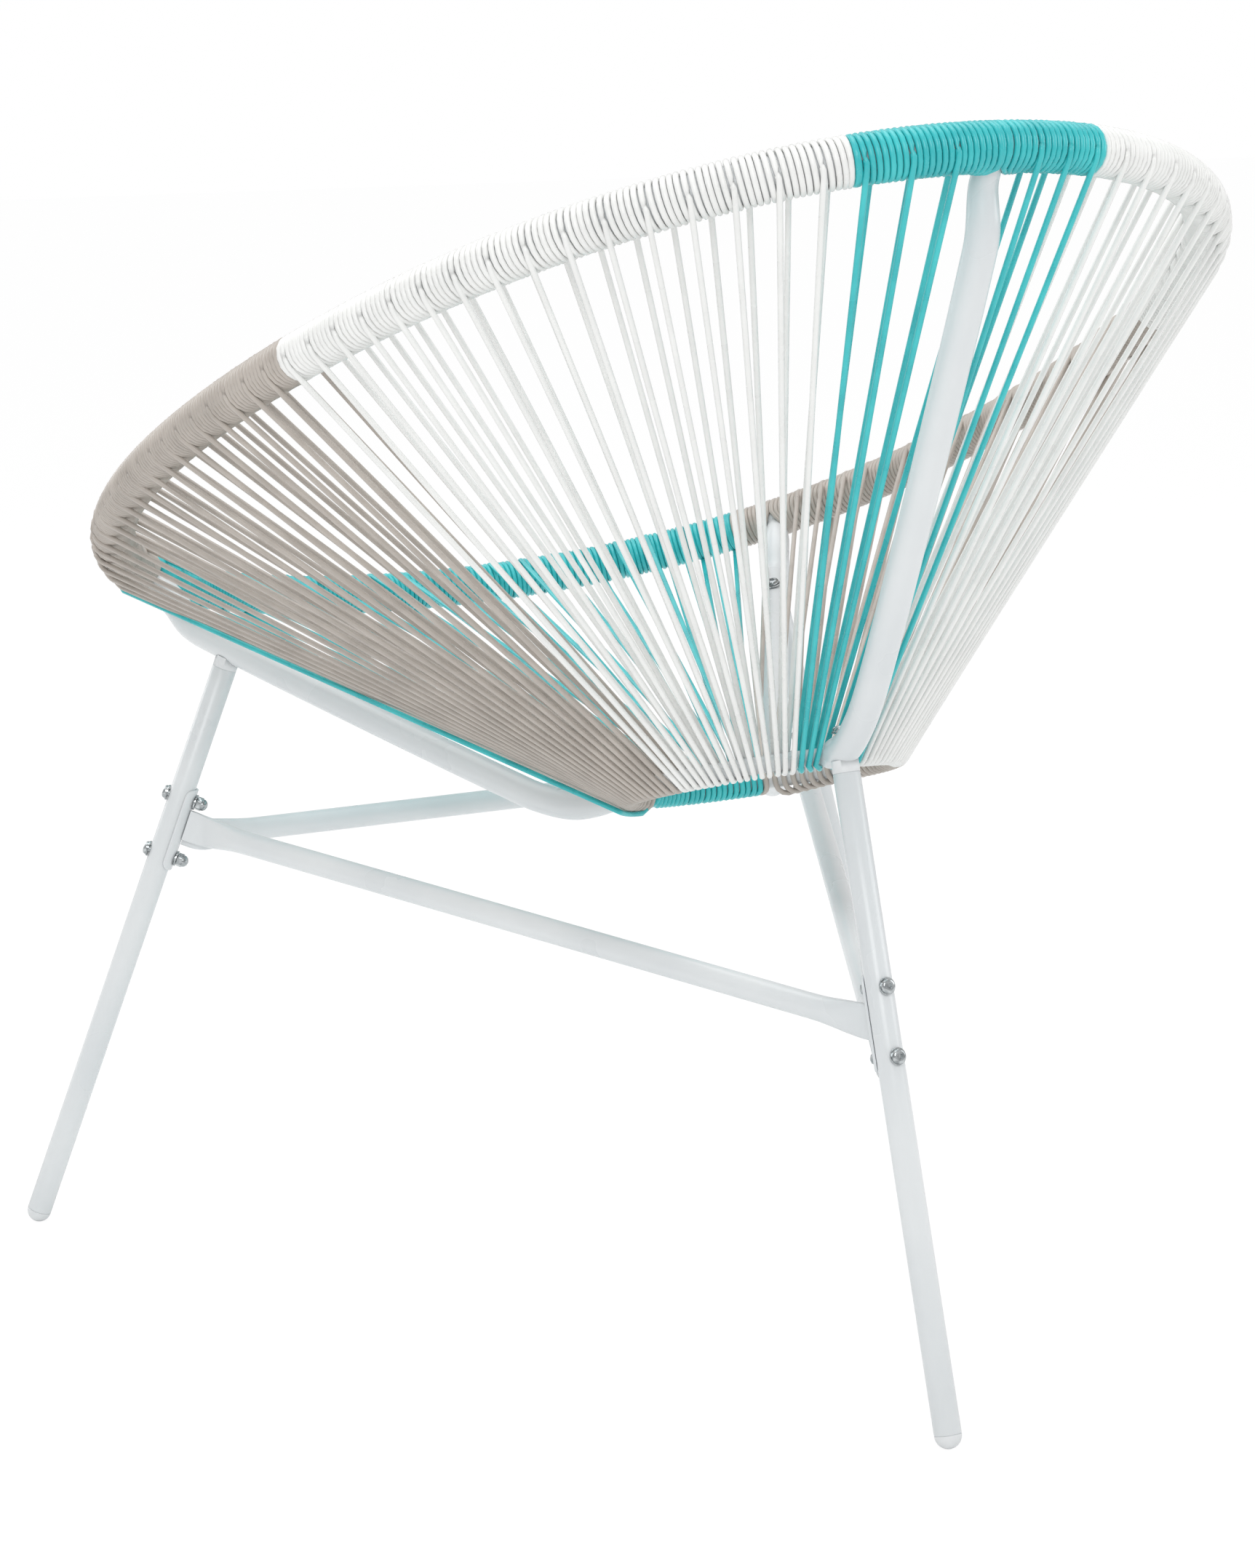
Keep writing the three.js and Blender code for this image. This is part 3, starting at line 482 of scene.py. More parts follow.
# Spans are radians round the rim's tube. Window halves are the lengths along the ring that stay free
# beside a support's end. Angles, crossRingFrom, crossTurn and angleJitter are degrees.
cordShape = {
    "radius": 2, "facets": 10, "windRadius": 14.55, "loopRadius": 8.2, "loopSteps": 9, "turnSteps": 16,
    "mainTurns": 3.5, "firstLeave": 1.75, "searchTurn": 0.25, "mostTurns": 400, "fillOverlap": 0.1,
    "closest": 4.02, "wander": 0.08, "wanderRates": (0.83, 1.31, 0.37), "angleJitter": 0.22,
    "tuck": 10.2, "tuckSpan": 0.9,
    "leadSpan": 0.6, "leadSteps": 5, "leadRise": 0.9,
    "windowHalf": 15.6, "edgeInset": 5.2, "rearWindowHalf": 11.3, "tipWindowHalf": 11.1,
    "innerWindowHalf": 4.4, "crossedWindowHalf": 15.2,
    "supportHalf": 11.2, "supportReach": 17, "partSpan": 1.05, "pileRise": 1.6,
    "pileLoops": 7, "leadPile": 4.6, "pileSpan": 2.2, "loopPile": 3.4,
    "crossArc": 13.2, "crossSpan": 0.35, "crossRise": 7, "crossSteps": 8, "crossRing": 13.6,
    "crossRingFrom": 62, "crossTurn": 45, "crossSkip": 2,
}
# Places along the rim, counted from the front's middle, and each colour's loops and turns for a loop
stretches = {
    "grayToWhite": 0.6237 * halfRim, "whiteToTeal": 0.9301 * halfRim, "whiteToTealRight": 0.9438 * halfRim,
    "firstWhiteAngle": 118.2, "leanLoops": 9,
    "frontLoops": 22, "grayLoops": 21, "whiteLoops": 16, "tealBackLoops": 3,
    "frontTurns": 7, "grayTurns": 6, "whiteTurns": 6, "tealBackTurns": 7, "tealBackTurnsRight": 5,
}

# Each support's place along the rim, and the angle round the rim's tube at which it leaves
supportArcs = []
for name, arc in (("front_left", frontArc), ("front_right", -frontArc), ("rear", halfRim)):
    centre, _, high, wide = rimFrame(arc)
    away = supportLines[name][supportShape["leaveStep"]] - centre
    supportArcs.append((arc, math.atan2(away.dot(high), away.dot(wide))))


def windingPoint(arc, angle, rise=0):
    # A point of the winding: angle zero faces the ring, a quarter turn later the seat side.
    # Beside a support the turns part to both sides of it.
    radius = cordShape["windRadius"] + rise
    for supportArc, supportAngle in supportArcs:
        off = (arc - supportArc + halfRim) % rimLength - halfRim
        reach = cordShape["supportReach"]
        if abs(off) < reach:
            beside = math.sin(angle - supportAngle) / math.sin(cordShape["partSpan"])
            facing = max(0, 1 - beside * beside) if math.cos(angle - supportAngle) > 0 else 0
            side = 1 if off >= 0 else -1
            half = cordShape["supportHalf"]
            parted = side * (half + abs(off) * (reach - half) / reach)
            arc += (parted - off) * facing
            radius += cordShape["pileRise"] * facing * (1 - abs(off) / reach) ** 0.5
    centre, _, high, wide = rimFrame(arc)
    return centre + radius * (math.cos(angle) * wide + math.sin(angle) * high)


def windStretch(first, last, start, pitch, angles, turns, leans=None, crossing=None, piled=False):
    # Loops start at `start` and repeat every `pitch`, each with so many turns of the rim. Winding covers
    # the rim from first to last. Leans move a loop's upper string along the ring. A crossing brings the
    # last loop's lower string from the other side of a support, and piled loops start farther out.
    c = cordShape
    perTurn = pitch / turns
    fillTurns = turns - c["mainTurns"]
    leaveShare = 0.5 - fillTurns / turns / 2
    crowd = max(0, perTurn - c["closest"])
    phases = [random.uniform(0, 2 * math.pi) for _ in range(3)]
    leaveTurn = c["firstLeave"]  # the turn count where the first string leaves

    def arcAt(turn):
        # The place along the rim at a turn count: the turns crowd beside the strings and wander a little
        group = crowd * turns / (2 * math.pi) * math.sin(2 * math.pi * (turn - leaveTurn) / turns)
        waves = sum(math.sin(turn * rate + phase) for rate, phase in zip(c["wanderRates"], phases))
        return start + (leaveShare * turns - leaveTurn + turn) * perTurn + group + c["wander"] * waves

    def wound(fromTurn, toTurn, tuckStart=False, tuckEnd=False, endRise=0):
        # Turns round the rim. A tucked end dips under them, and an end rise lifts the last turn.
        count = max(2, math.ceil((toTurn - fromTurn) * c["turnSteps"]))
        points = []
        for i in range(count + 1):
            turn = fromTurn + (toTurn - fromTurn) * i / count
            rise = 0
            for tucked, distance in ((tuckStart, turn - fromTurn), (tuckEnd, toTurn - turn)):
                near = distance * 2 * math.pi / c["tuckSpan"]
                if tucked and near < 1:
                    rise = (c["tuck"] - c["windRadius"]) * (1 - near) ** 2
            near = (toTurn - turn) * 2 * math.pi / c["pileSpan"]
            if near < 1:
                rise += endRise * eased(1 - near)
            arc = min(max(arcAt(turn), first + c["radius"]), last - c["radius"])
            points.append(windingPoint(arc, turn * 2 * math.pi, rise))
        return points

    def tangentPoint(turn, spot, sign):
        # Where a string touches the winding: its place along the rim, the angle round the tube there
        # and how far it slides along the rim on its way
        arc = arcAt(turn)
        centre, tangent, high, wide = rimFrame(arc)
        way = spot - centre
        lean = math.atan2(way.dot(high), way.dot(wide))
        slope = way.dot(tangent) / math.hypot(way.dot(high), way.dot(wide))
        return arc, sign * math.pi / 2 + lean, slope

    def lead(turn, spot, sign, pile=0):
        # The end of a turn before its string leaves, leaning towards the ring's side
        arc, angle, slope = tangentPoint(turn, spot, sign)
        points = []
        for i in range(1, c["leadSteps"] + 1):
            share = i / c["leadSteps"]
            slide = slope * c["windRadius"] * c["leadSpan"] * share ** 2 / 2
            turned = angle + sign * c["leadSpan"] * (1 - share)
            points.append(windingPoint(arc + slide, turned, c["leadRise"] * share + pile))
        return points

    def crossingLead(arc, lowAngle, rimSpot):
        # A string that comes out between the turns of the next stretch, lies along the support and
        # then runs below the neighbour's loops to its own place on the ring
        underRing = []
        for i in range(c["crossSteps"]):
            angle = math.radians(c["crossRingFrom"])
            angle += (lowAngle - angle) * i / c["crossSteps"]
            along = ringTangent(angle)
            towards = rimSpot - ringPoint(angle)
            towards = (towards - along * towards.dot(along)).normalized()
            under = along.cross(towards)
            turned = math.radians(c["crossTurn"]) * i / c["crossSteps"]
            out = under * math.cos(turned) - towards * math.sin(turned)
            underRing.append(ringPoint(angle) + c["crossRing"] * out)
        centre, _, high, wide = rimFrame(arc)
        way = underRing[0] - centre
        lean = math.atan2(way.dot(high), way.dot(wide))
        points = []
        for i in range(c["leadSteps"] + 1):
            share = i / c["leadSteps"]
            turned = lean - math.pi / 2 - c["crossSpan"] * (1 - share)
            radius = c["windRadius"] + c["crossRise"] * (1 + share) / 2
            points.append(centre + radius * (math.cos(turned) * wide + math.sin(turned) * high))
        return points + underRing

    chains = []
    main = []
    endTurn = leaveTurn
    while arcAt(endTurn) < last - c["radius"] and endTurn < c["mostTurns"]:
        endTurn += c["searchTurn"]
    fromTurn = leaveTurn
    while arcAt(fromTurn) > first + c["radius"]:
        fromTurn -= c["searchTurn"]
    current = fromTurn - 1
    leadTurns = c["leadSpan"] / (2 * math.pi)
    for i, angle in enumerate(angles):
        leave = leaveTurn + i * turns
        back = leave + fillTurns
        angle += math.radians(c["angleJitter"]) * random.uniform(-1, 1)
        rod = ringPoint(angle)
        along = ringTangent(angle)
        towards = rimPoint(arcAt((leave + back) / 2)) - rod
        towards = (towards - along * towards.dot(along)).normalized()
        under = along.cross(towards)
        crossed = crossing if crossing and i == len(angles) - 1 else None
        lowAngle = crossed["ringAngle"] if crossed else angle
        highAngle = angle + (leans[i] if leans else 0)
        pile = max(0, 1 - i / c["pileLoops"]) if piled else 0
        loop = []
        for step in range(c["loopSteps"]):
            turn = math.pi * step / (c["loopSteps"] - 1)
            radius = c["loopRadius"] + pile * c["loopPile"] * max(0, math.cos(turn))
            rod = ringPoint(lowAngle + (highAngle - lowAngle) * math.sin(min(turn, math.pi / 2)))
            loop.append(rod + radius * (under * math.cos(turn) - towards * math.sin(turn)))
        main += wound(current, leave - leadTurns, tuckStart=not main, endRise=pile * c["leadPile"])
        if crossed:
            chains.append(main)
            main = crossingLead(crossed["arc"], lowAngle, rimPoint(crossed["arc"]))
            loop = loop[c["crossSkip"]:]
        else:
            main += lead(leave, loop[0], -1, pile * c["leadPile"])
        main += loop
        main += reversed(lead(back, loop[-1], 1))
        chains.append(wound(leave - c["fillOverlap"], back + c["fillOverlap"]))
        current = back + leadTurns
    main += wound(current, endTurn + 1, tuckEnd=True)
    chains.append(main)
    return chains


def mirrorChains(chains):
    return [[Vector((-p.x, p.y, p.z)) for p in chain] for chain in chains]


def spreadAngles(count, first, last):
    return [first + (last - first) * i / (count - 1) for i in range(count)]


rearWindow = cordShape["rearWindowHalf"] / ringShape["radius"]
beside = cordShape["windowHalf"] - cordShape["edgeInset"]
st = stretches
tipWindow = cordShape["tipWindowHalf"] / ringShape["radius"]
innerWindow = cordShape["innerWindowHalf"] / ringShape["radius"]
firstWhite = math.radians(st["firstWhiteAngle"])
crossedWindow = cordShape["crossedWindowHalf"] / ringShape["radius"]
sideAngles = spreadAngles(st["grayLoops"] + 1, frontAngle + crossedWindow, firstWhite)[:-1]
sideAngles += spreadAngles(st["whiteLoops"] + st["tealBackLoops"], firstWhite, math.pi - rearWindow)
frontAngles = spreadAngles(st["frontLoops"], tipWindow - frontAngle, frontAngle - tipWindow)
# Loops beside a front support lean over its end, so that they close most of the gap inside the ring
frontInner = spreadAngles(st["frontLoops"], innerWindow - frontAngle, frontAngle - innerWindow)
frontLeans = [inner - outer for inner, outer in zip(frontInner, frontAngles)]
grayLeans = [
    (innerWindow - crossedWindow) * max(0, 1 - i / st["leanLoops"]) for i in range(st["grayLoops"])]
frontStart = beside - frontArc
frontPitch = -2 * frontStart / st["frontLoops"]
grayStart = frontArc + beside
grayPitch = (st["grayToWhite"] - grayStart) / st["grayLoops"]
whitePitch = (st["whiteToTeal"] - st["grayToWhite"]) / st["whiteLoops"]
whitePitchRight = (st["whiteToTealRight"] - st["grayToWhite"]) / st["whiteLoops"]
tealPitch = (halfRim - beside - st["whiteToTeal"]) / st["tealBackLoops"]
tealPitchRight = (halfRim - beside - st["whiteToTealRight"]) / st["tealBackLoops"]
afterGray = frontStart + frontPitch  # the first loop at the front is gray

# The last teal loop at the front starts on the gray side of the front left support
acrossSupport = {"arc": frontArc + cordShape["crossArc"], "ringAngle": frontAngle + tipWindow}
tealFront = windStretch(
    afterGray, frontArc, afterGray, frontPitch, frontAngles[1:], st["frontTurns"], frontLeans[1:],
    acrossSupport)
grayFront = windStretch(
    -frontArc, afterGray, frontStart, frontPitch, frontAngles[:1], st["frontTurns"], frontLeans[:1])
grayLeft = windStretch(
    frontArc, st["grayToWhite"], grayStart, grayPitch, sideAngles[:st["grayLoops"]], st["grayTurns"],
    grayLeans, piled=True)
whiteAngles = sideAngles[st["grayLoops"]:-st["tealBackLoops"]]
tealAngles = sideAngles[-st["tealBackLoops"]:]
tealLeans = [
    (rearWindow - innerWindow) * (i + 1) / st["tealBackLoops"] for i in range(st["tealBackLoops"])]
whiteLeft = windStretch(
    st["grayToWhite"], st["whiteToTeal"], st["grayToWhite"], whitePitch, whiteAngles, st["whiteTurns"])
whiteRight = windStretch(
    st["grayToWhite"], st["whiteToTealRight"], st["grayToWhite"], whitePitchRight, whiteAngles,
    st["whiteTurns"])
tealBackLeft = windStretch(
    st["whiteToTeal"], halfRim, st["whiteToTeal"], tealPitch, tealAngles, st["tealBackTurns"],
    tealLeans)
tealBackRight = windStretch(
    st["whiteToTealRight"], halfRim, st["whiteToTealRight"], tealPitchRight, tealAngles,
    st["tealBackTurnsRight"], tealLeans)
grayRight = mirrorChains(grayLeft) + grayFront
tealBack = tealBackLeft + mirrorChains(tealBackRight)
cordPieces = (
    ("tealFrontCord", "tealCord", tealFront, [f"cord_teal_front_{i}" for i in (1, 2, 3)]),
    ("grayLeftCord", "grayCord", grayLeft, [f"cord_gray_left_{i}" for i in (1, 2, 3)]),
    ("grayRightCord", "grayCord", grayRight, [f"cord_gray_right_{i}" for i in (1, 2, 3)]),
    ("whiteLeftCord", "whiteCord", whiteLeft, [f"cord_white_left_{i}" for i in (1, 2)]),
    ("whiteRightCord", "whiteCord", mirrorChains(whiteRight), [f"cord_white_right_{i}" for i in (1, 2)]),
    ("tealBackCord", "tealCord", tealBack, ["cord_teal_back"]),
)
for name, finish, chains, replaced in cordPieces:
    piece = lineCurve(chains, cordShape["radius"], cordShape["facets"])
    finishPiece(piece, name, finish, replaced)
    cordLength = sum(
        (after - before).length for chain in chains for before, after in zip(chain, chain[1:]))
    print(name, len(piece.data.polygons), "faces,", round(cordLength * mm, 1), "m of cord")


# Seat frame

rimLine = [rimPoint(rimLength * i / rimShape["steps"]) for i in range(rimShape["steps"])]
rimTube = lineCurve([rimLine], rimShape["tubeRadius"], rimShape["sides"], closed=True)
finishPiece(rimTube, "rimTube", "frameCoat", ["rim_tube"])

bpy.ops.mesh.primitive_torus_add(
    major_radius=ringShape["radius"] * mm, minor_radius=ringShape["rodRadius"] * mm,
    major_segments=ringShape["steps"], minor_segments=ringShape["sides"])
innerRing = bpy.context.object
bpy.ops.object.shade_smooth()
place(innerRing, Matrix.Translation(ringCentre * mm) @ Matrix.Rotation(ringTilt, 4, "X"))
finishPiece(innerRing, "innerRing", "frameCoat", ["inner_ring"])

# The supports are necked at the rim and drawn to a tip at the ring
supportTubes = {}
for name, line in supportLines.items():
    s = supportShape
    along = [0]
    for before, after in zip(line, line[1:]):
        along.append(along[-1] + (after - before).length)
    bends = supportRuns[name][0]
    swell = []
    for distance in along:
        necks = []
        for radius, reach in (
                (s["neckRadius"], distance / bends["neckLength"]),
                (bends["tipRadius"], (along[-1] - distance) / bends["tipLength"])):
            share = eased(min(1, reach))
            necks.append(radius + (s["radius"] - radius) * share)
        swell.append(min(necks) / s["radius"])
    supportTubes[name] = lineCurve([line], s["radius"], s["sides"], swell=swell)
print("seat frame made")


# Legs

legShape = {
    "radius": 9.5, "flatDepth": 0.6, "rearFoot": (0, 410.7), "frontFoot": (400.3, -331.6),
    "frontBracket": 336.5, "rearBracket": 281, "sides": 48, "endRound": 0.5, "wall": 2, "seatSteps": 20,
}
plugShape = {"flange": 4.5, "skirt": 6, "shoulder": 0.4, "edge": 0.1, "saddle": 4}
capShape = {"seam": 0.35, "domeSteps": 12, "skirt": 6, "lip": 0.5}
bracketShape = {
    "length": 68, "thickness": 2, "halfAngle": 62, "boltSpacing": 48, "corner": 7,
    "columns": 24, "rows": 36, "edge": 0.45, "edgeSteps": 2, "edgeFrom": 50,
}
boltShape = {
    "radius": 3, "tip": 0.5, "headRadius": 5.25, "headHeight": 3.2, "rimHeight": 0.9, "socketRadius": 2.1,
    "socketRim": 0.6, "socketDepth": 1.7, "domeSteps": 7, "turns": 40, "reachInLeg": 17,
}
washerShape = {"outerRadius": 6.2, "innerRadius": 3.5, "thickness": 1.4, "round": 0.25, "lift": 0.4}
nutShape = {
    "cornerRadius": 5.6, "hexHeight": 4.6, "domeHeight": 4.2, "domeShare": 0.84, "domeSteps": 8,
    "chamfer": 0.5, "chamferSteps": 2, "sink": 0.5, "turns": 32,
}
gap = 0.3
spare = 1  # how far a cutter stands out of what it cuts


def seatPoint(line, end, distance):
    # The point of a support's middle line at a level distance from its end
    fine = []
    steps = legShape["seatSteps"]
    for before, after in zip(line, line[1:]):
        fine += [before.lerp(after, i / steps) for i in range(steps)]
    return min(fine, key=lambda p: abs(math.hypot(p.x - end.x, p.y - end.y) - distance))


legs = []
for name, line in supportLines.items():
    leg = SimpleNamespace(name=name, rear=name == "rear")
    bends, rimEnd, ringEnd = supportRuns[name]
    if leg.rear:
        seat = seatPoint(line, ringEnd, bends["legSeat"])
        foot = Vector((*legShape["rearFoot"], 0))
    else:
        seat = seatPoint(line, rimEnd, bends["legSeat"])
        side = 1 if name == "front_left" else -1
        foot = Vector((side * legShape["frontFoot"][0], legShape["frontFoot"][1], 0))
    leg.axis = (seat - foot).normalized()
    leg.foot = foot + leg.axis * (legShape["radius"] - legShape["flatDepth"]) / leg.axis.z
    leg.length = (seat - leg.foot).length
    leg.bracketHeight = legShape["rearBracket"] if leg.rear else legShape["frontBracket"]
    leg.bracketCentre = leg.foot + leg.axis * leg.bracketHeight
    legs.append(leg)
for leg in legs:
    inward = Vector((0, 0, 0))
    for other in legs:
        if other is not leg:
            inward += (other.bracketCentre - leg.bracketCentre).normalized()
    leg.inward = (inward - leg.axis * inward.dot(leg.axis)).normalized()
    leg.sideways = leg.inward.cross(leg.axis)
    turn = Matrix((leg.sideways, leg.inward, leg.axis)).transposed().to_4x4()
    leg.matrix = Matrix.Translation(leg.foot * mm) @ turn
    leg.plugTop = leg.length - supportShape["radius"] - gap
    leg.tubeTop = leg.plugTop - plugShape["flange"] - gap


def roundedRod(radius, low, high, edge):
    return [
        (0, low), (radius - edge, low), (radius, low + edge),
        (radius, high - edge), (radius - edge, high), (0, high)]


def addLeg(leg):
    r, sides = legShape["radius"], legShape["sides"]
    inside = r - legShape["wall"]
    tube = turned(roundedRod(r, gap, leg.tubeTop, legShape["endRound"]), sides, roundSides)
    place(tube, leg.matrix)
    finishPiece(tube, f"legTube_{leg.name}", "frameCoat", [f"leg_tube_{leg.name}"])

    p = plugShape
    low = leg.tubeTop + gap
    high = leg.plugTop + p["saddle"]
    plug = turned([
        (0, low - p["skirt"]), (inside, low - p["skirt"]), (inside, low - gap),
        (r - p["shoulder"], low - gap), (r, low + p["edge"]), (r, high), (0, high)],
        sides, roundSides)
    place(plug, leg.matrix)
    cutter = copied(supportTubes[leg.name])
    cutWith(plug, cutter)
    drop(cutter)
    finishPiece(plug, f"legTopPlug_{leg.name}", "capPlastic", [f"leg_top_plug_{leg.name}"])

    c = capShape
    bends = [math.pi / 2 * i / c["domeSteps"] for i in range(c["domeSteps"] + 1)]
    foot = turned([
        *[(r * math.sin(bend), -r * math.cos(bend)) for bend in bends],
        (r - c["lip"], c["seam"]), (inside, c["seam"]), (inside, c["skirt"]), (0, c["skirt"])],
        sides, roundSides)
    place(foot, leg.matrix)
    bpy.ops.object.mode_set(mode="EDIT")
    bpy.ops.mesh.select_all(action="SELECT")
    bpy.ops.mesh.bisect(plane_co=(0, 0, 0), plane_no=(0, 0, 1), use_fill=True, clear_inner=True)
    bpy.ops.object.mode_set(mode="OBJECT")
    finishPiece(foot, f"footCap_{leg.name}", "capPlastic", [f"foot_cap_{leg.name}"])


def bracketPlate():
    # A flat grid with rounded corners, bent round the leg, with its wall and edges added after
    b = bracketShape
    inner = legShape["radius"] + gap
    middle = inner + b["thickness"] / 2
    halfWidth = middle * math.radians(b["halfAngle"])
    halfLength = b["length"] / 2
    bpy.ops.mesh.primitive_grid_add(
        x_subdivisions=b["columns"], y_subdivisions=b["rows"], size=2, location=(0, 0, 0))
    plate = bpy.context.object
    for vert in plate.data.vertices:
        x, z = vert.co.x * halfWidth, vert.co.y * halfLength
        dx = abs(x) - (halfWidth - b["corner"])
        dz = abs(z) - (halfLength - b["corner"])
        if dx > 0 and dz > 0:
            share = max(dx, dz) / math.hypot(dx, dz)
            x = math.copysign(halfWidth - b["corner"] + dx * share, x)
            z = math.copysign(halfLength - b["corner"] + dz * share, z)
        bend = x / middle
        vert.co = Vector((middle * math.sin(bend), middle * math.cos(bend), z)) * mm
    only(plate)
    bpy.ops.object.modifier_add(type="SOLIDIFY")
    plate.modifiers[-1].thickness = b["thickness"] * mm
    plate.modifiers[-1].offset = 0
    bpy.ops.object.modifier_add(type="BEVEL")
    plate.modifiers[-1].width = b["edge"] * mm
    plate.modifiers[-1].segments = b["edgeSteps"]
    plate.modifiers[-1].limit_method = "ANGLE"
    plate.modifiers[-1].angle_limit = math.radians(b["edgeFrom"])
    applyAll(plate)
    bpy.ops.object.mode_set(mode="EDIT")
    bpy.ops.mesh.select_all(action="SELECT")
    bpy.ops.mesh.normals_make_consistent(inside=False)
    bpy.ops.object.mode_set(mode="OBJECT")
    bpy.ops.object.shade_smooth_by_angle(angle=math.radians(softEdges))
    return plate


def hexRod(radius, low, high):
    bpy.ops.mesh.primitive_cylinder_add(
        vertices=6, radius=radius * mm, depth=(high - low) * mm, location=(0, 0, (high + low) / 2 * mm))
    return bpy.context.object


def buttonBolt(tip, flange):
    # The head seats at zero and rises along +Z, and the shank runs down to -tip. A flange is the outer
    # washer, in one with the head.
    b = boltShape
    outline = [(0, -tip), (b["radius"] - b["tip"], -tip), (b["radius"], -tip + b["tip"]), (b["radius"], 0)]
    dome = b["headRadius"] - b["socketRadius"] - b["socketRim"]
    if flange:
        outer, edge = washerShape["outerRadius"], washerShape["round"]
        outline += [(outer - edge, 0), (outer, edge), (outer, flange - edge), (outer - edge, flange)]
    outline += [(b["headRadius"], flange), (b["headRadius"], flange + b["rimHeight"])]
    for i in range(1, b["domeSteps"] + 1):
        turn = math.pi / 2 * i / b["domeSteps"]
        reach = b["headRadius"] - dome * (1 - math.cos(turn))
        rise = (b["headHeight"] - b["rimHeight"]) * math.sin(turn)
        outline.append((reach, flange + b["rimHeight"] + rise))
    top = flange + b["headHeight"]
    outline.append((0, top))
    piece = turned(outline, b["turns"], sharpEdges)
    socket = hexRod(b["socketRadius"], top - b["socketDepth"], top + spare)
    cutWith(piece, socket)
    drop(socket)
    only(piece)
    bpy.ops.object.shade_smooth_by_angle(angle=math.radians(sharpEdges))
    return piece


def roundWasher(low):
    w = washerShape
    high = low + w["thickness"]
    inner, outer, edge = w["innerRadius"], w["outerRadius"], w["round"]
    return turned([
        (inner, low), (outer - edge, low), (outer, low + edge),
        (outer, high - edge), (outer - edge, high), (inner, high)],
        boltShape["turns"], sharpEdges)


def domeNut(low):
    n = nutShape
    shoulder = low + n["hexHeight"]
    base = hexRod(n["cornerRadius"], low, shoulder)
    only(base)
    bpy.ops.object.modifier_add(type="BEVEL")
    base.modifiers[-1].width = n["chamfer"] * mm
    base.modifiers[-1].segments = n["chamferSteps"]
    applyAll(base)
    reach = n["cornerRadius"] * n["domeShare"]
    outline = [(0, shoulder - n["sink"]), (reach, shoulder - n["sink"]), (reach, shoulder)]
    for i in range(1, n["domeSteps"]):
        turn = math.pi / 2 * i / n["domeSteps"]
        outline.append((reach * math.cos(turn), shoulder + n["domeHeight"] * math.sin(turn)))
    outline.append((0, shoulder + n["domeHeight"]))
    dome = turned(outline, n["turns"])
    nut = joined([base, dome])
    bpy.ops.object.shade_smooth_by_angle(angle=math.radians(sharpEdges))
    return nut


plateOuter = legShape["radius"] + gap + bracketShape["thickness"]
inwards = Matrix.Rotation(-math.pi / 2, 4, "X")  # +Z becomes +Y, the leg's way inward
outwards = Matrix.Rotation(math.pi / 2, 4, "X")


def addFasteners(leg):
    # Two bolts through the leg, heads outside and dome nuts inside, and the bolt down through the support
    nutSeat = plateOuter + gap + washerShape["thickness"] + gap
    tip = nutSeat + nutShape["hexHeight"] - gap
    seat = legShape["radius"] + gap
    for label, sign in (("lower", -1), ("upper", 1)):
        level = leg.bracketHeight + sign * bracketShape["boltSpacing"] / 2
        height = Matrix.Translation((0, 0, level * mm))
        end = f"{leg.name}_{label}"
        bolt = buttonBolt(tip + seat, washerShape["thickness"])
        place(bolt, leg.matrix @ height @ outwards @ Matrix.Translation((0, 0, seat * mm)))
        finishPiece(bolt, f"braceBolt_{end}", "zincPlate", [f"brace_bolt_{end}"])
        washer = roundWasher(plateOuter + gap)
        place(washer, leg.matrix @ height @ inwards)
        finishPiece(washer, f"braceWasher_{end}", "zincPlate", [f"brace_washer_{end}"])
        nut = domeNut(nutSeat)
        place(nut, leg.matrix @ height @ inwards)
        finishPiece(nut, f"braceCapNut_{end}", "zincPlate", [f"brace_cap_nut_{end}"])
    top = leg.length + supportShape["radius"] + gap + washerShape["lift"]
    washer = roundWasher(top)
    place(washer, leg.matrix)
    finishPiece(washer, f"seatBoltWasher_{leg.name}", "zincPlate", [f"seat_bolt_washer_{leg.name}"])
    head = top + washerShape["thickness"] + gap
    bolt = buttonBolt(head - leg.tubeTop + boltShape["reachInLeg"], 0)
    place(bolt, leg.matrix @ Matrix.Translation((0, 0, head * mm)))
    finishPiece(bolt, f"seatBolt_{leg.name}", "zincPlate", [f"seat_bolt_{leg.name}"])


for leg in legs:
    addLeg(leg)
    plate = bracketPlate()
    place(plate, leg.matrix @ Matrix.Translation((0, 0, leg.bracketHeight * mm)))
    finishPiece(plate, f"braceBracket_{leg.name}", "frameCoat", [f"brace_bracket_{leg.name}"])
    addFasteners(leg)
    support = supportTubes[leg.name]
    finishPiece(support, f"supportTube_{leg.name}", "frameCoat", [f"support_tube_{leg.name}"])
print("legs, brackets and fasteners made")


# Brace tubes

# Tabs are the flattened ends, joints are depths from the leg's middle, and the flare is how long the
# change from flat to round takes
braceShape = {
    "radius": 9, "tabHalfWidth": 2.2, "tabHalfHeight": 12.5, "frontJoint": 24, "rearJoint": 16,
    "flare": 46, "riseAtFront": 5, "riseAtRear": 1, "sides": 32, "steps": 60,
    "bendSteps": 6, "bend": 7, "seatShare": 0.8, "flatShare": 0.32,
}


def braceEnd(leg, other):
    # Where the brace's flat end sits on the bracket, and where its middle line turns towards the other leg
    b = braceShape
    side = leg.inward.cross(leg.axis).normalized()
    if side.dot(other.bracketCentre - leg.bracketCentre) < 0:
        side.negate()
    frontBrace = not leg.rear and not other.rear
    rise = 0 if frontBrace else (b["riseAtRear"] if leg.rear else b["riseAtFront"])
    middle = leg.bracketCentre + side * (b["tabHalfWidth"] + gap) + leg.axis * rise
    depth = b["rearJoint"] if leg.rear else b["frontJoint"]
    return middle + leg.inward * (plateOuter + gap), middle + leg.inward * depth


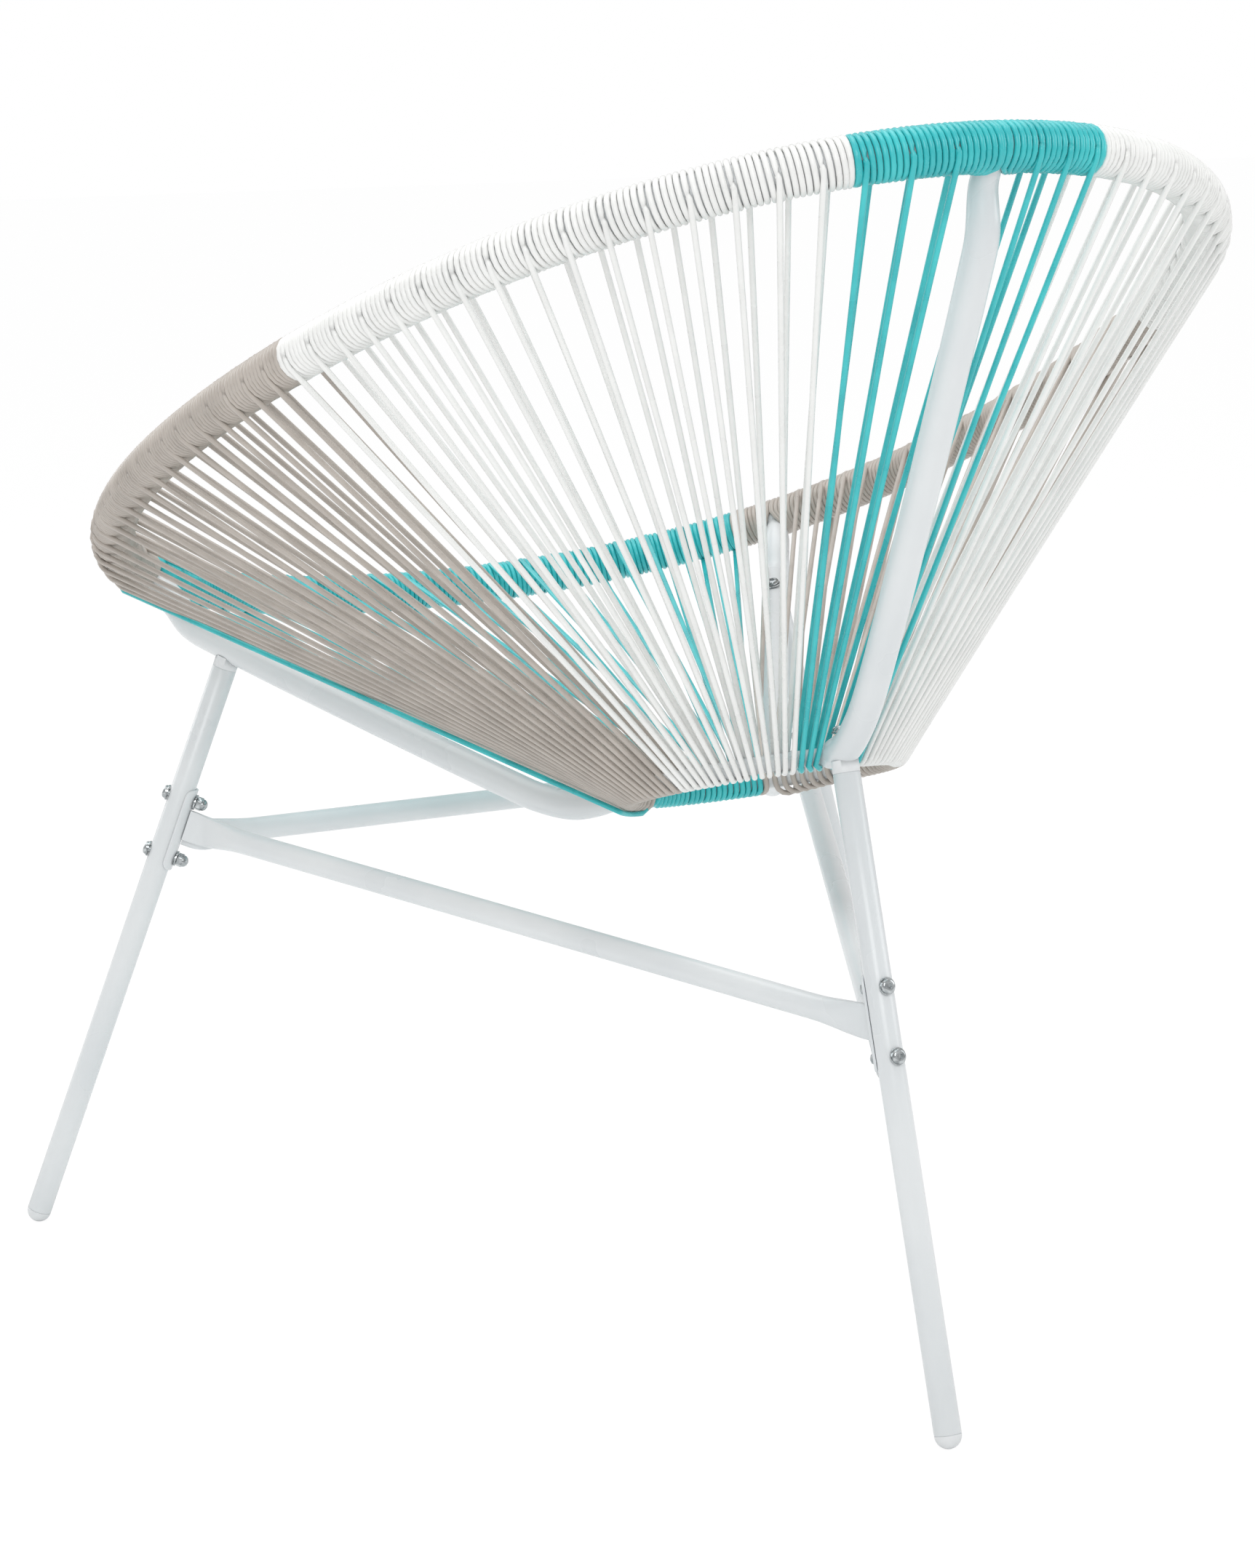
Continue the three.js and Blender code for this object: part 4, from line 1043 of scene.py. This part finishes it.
def addBrace(name, node, start, end):
    # A round tube along the middle line, pressed to a flat tab over the last part of each end
    b = braceShape
    seatA, jointA = braceEnd(start, end)
    seatB, jointB = braceEnd(end, start)
    along = (jointB - jointA).normalized()
    span = (jointB - jointA).length
    shares = [i / b["bendSteps"] for i in range(b["bendSteps"] + 1)]
    ends = []
    for seat, joint, way in ((seatA, jointA, along), (seatB, jointB, -along)):
        inner = min(b["bend"], (joint - seat).length * b["seatShare"])
        near, far = joint + (seat - joint).normalized() * inner, joint + way * b["bend"]
        corner = [near.lerp(joint, t).lerp(joint.lerp(far, t), t) for t in shares]
        ends.append([seat, *corner])
    straight = span - 2 * b["bend"]
    middle = [jointA + along * (b["bend"] + straight * i / b["steps"]) for i in range(1, b["steps"])]
    points = ends[0] + middle + list(reversed(ends[1]))
    piece = lineCurve([points], b["radius"], b["sides"])
    for vert in piece.data.vertices:
        spot = vert.co / mm
        distance = min((spot - jointA).dot(along), (jointB - spot).dot(along))
        share = eased(min(1, max(0, distance / b["flare"])))
        nearest = min(points, key=lambda p: (p - spot).length_squared)
        i = points.index(nearest)
        before, after = points[max(0, i - 1)], points[min(len(points) - 1, i + 1)]
        way = (after - before).normalized()
        high = (up - way * up.dot(way)).normalized()
        wide = high.cross(way)
        off = spot - nearest
        w, h, t = off.dot(wide) / b["radius"], off.dot(high) / b["radius"], off.dot(way)
        power = b["flatShare"] + (1 - b["flatShare"]) * share
        halfWidth = b["tabHalfWidth"] + (b["radius"] - b["tabHalfWidth"]) * share
        halfHeight = b["tabHalfHeight"] + (b["radius"] - b["tabHalfHeight"]) * share
        w = math.copysign(min(1, abs(w)) ** power, w) * halfWidth
        h = math.copysign(min(1, abs(h)) ** (power if share < 1 else 1), h) * halfHeight
        vert.co = (nearest + wide * w + high * h + way * t) * mm
    finishPiece(piece, name, "frameCoat", [node])


byName = {leg.name: leg for leg in legs}
addBrace("braceTube_left", "brace_tube_left", byName["front_left"], byName["rear"])
addBrace("braceTube_right", "brace_tube_right", byName["front_right"], byName["rear"])
addBrace("braceTube_front", "brace_tube_front", byName["front_left"], byName["front_right"])
print("brace tubes made")
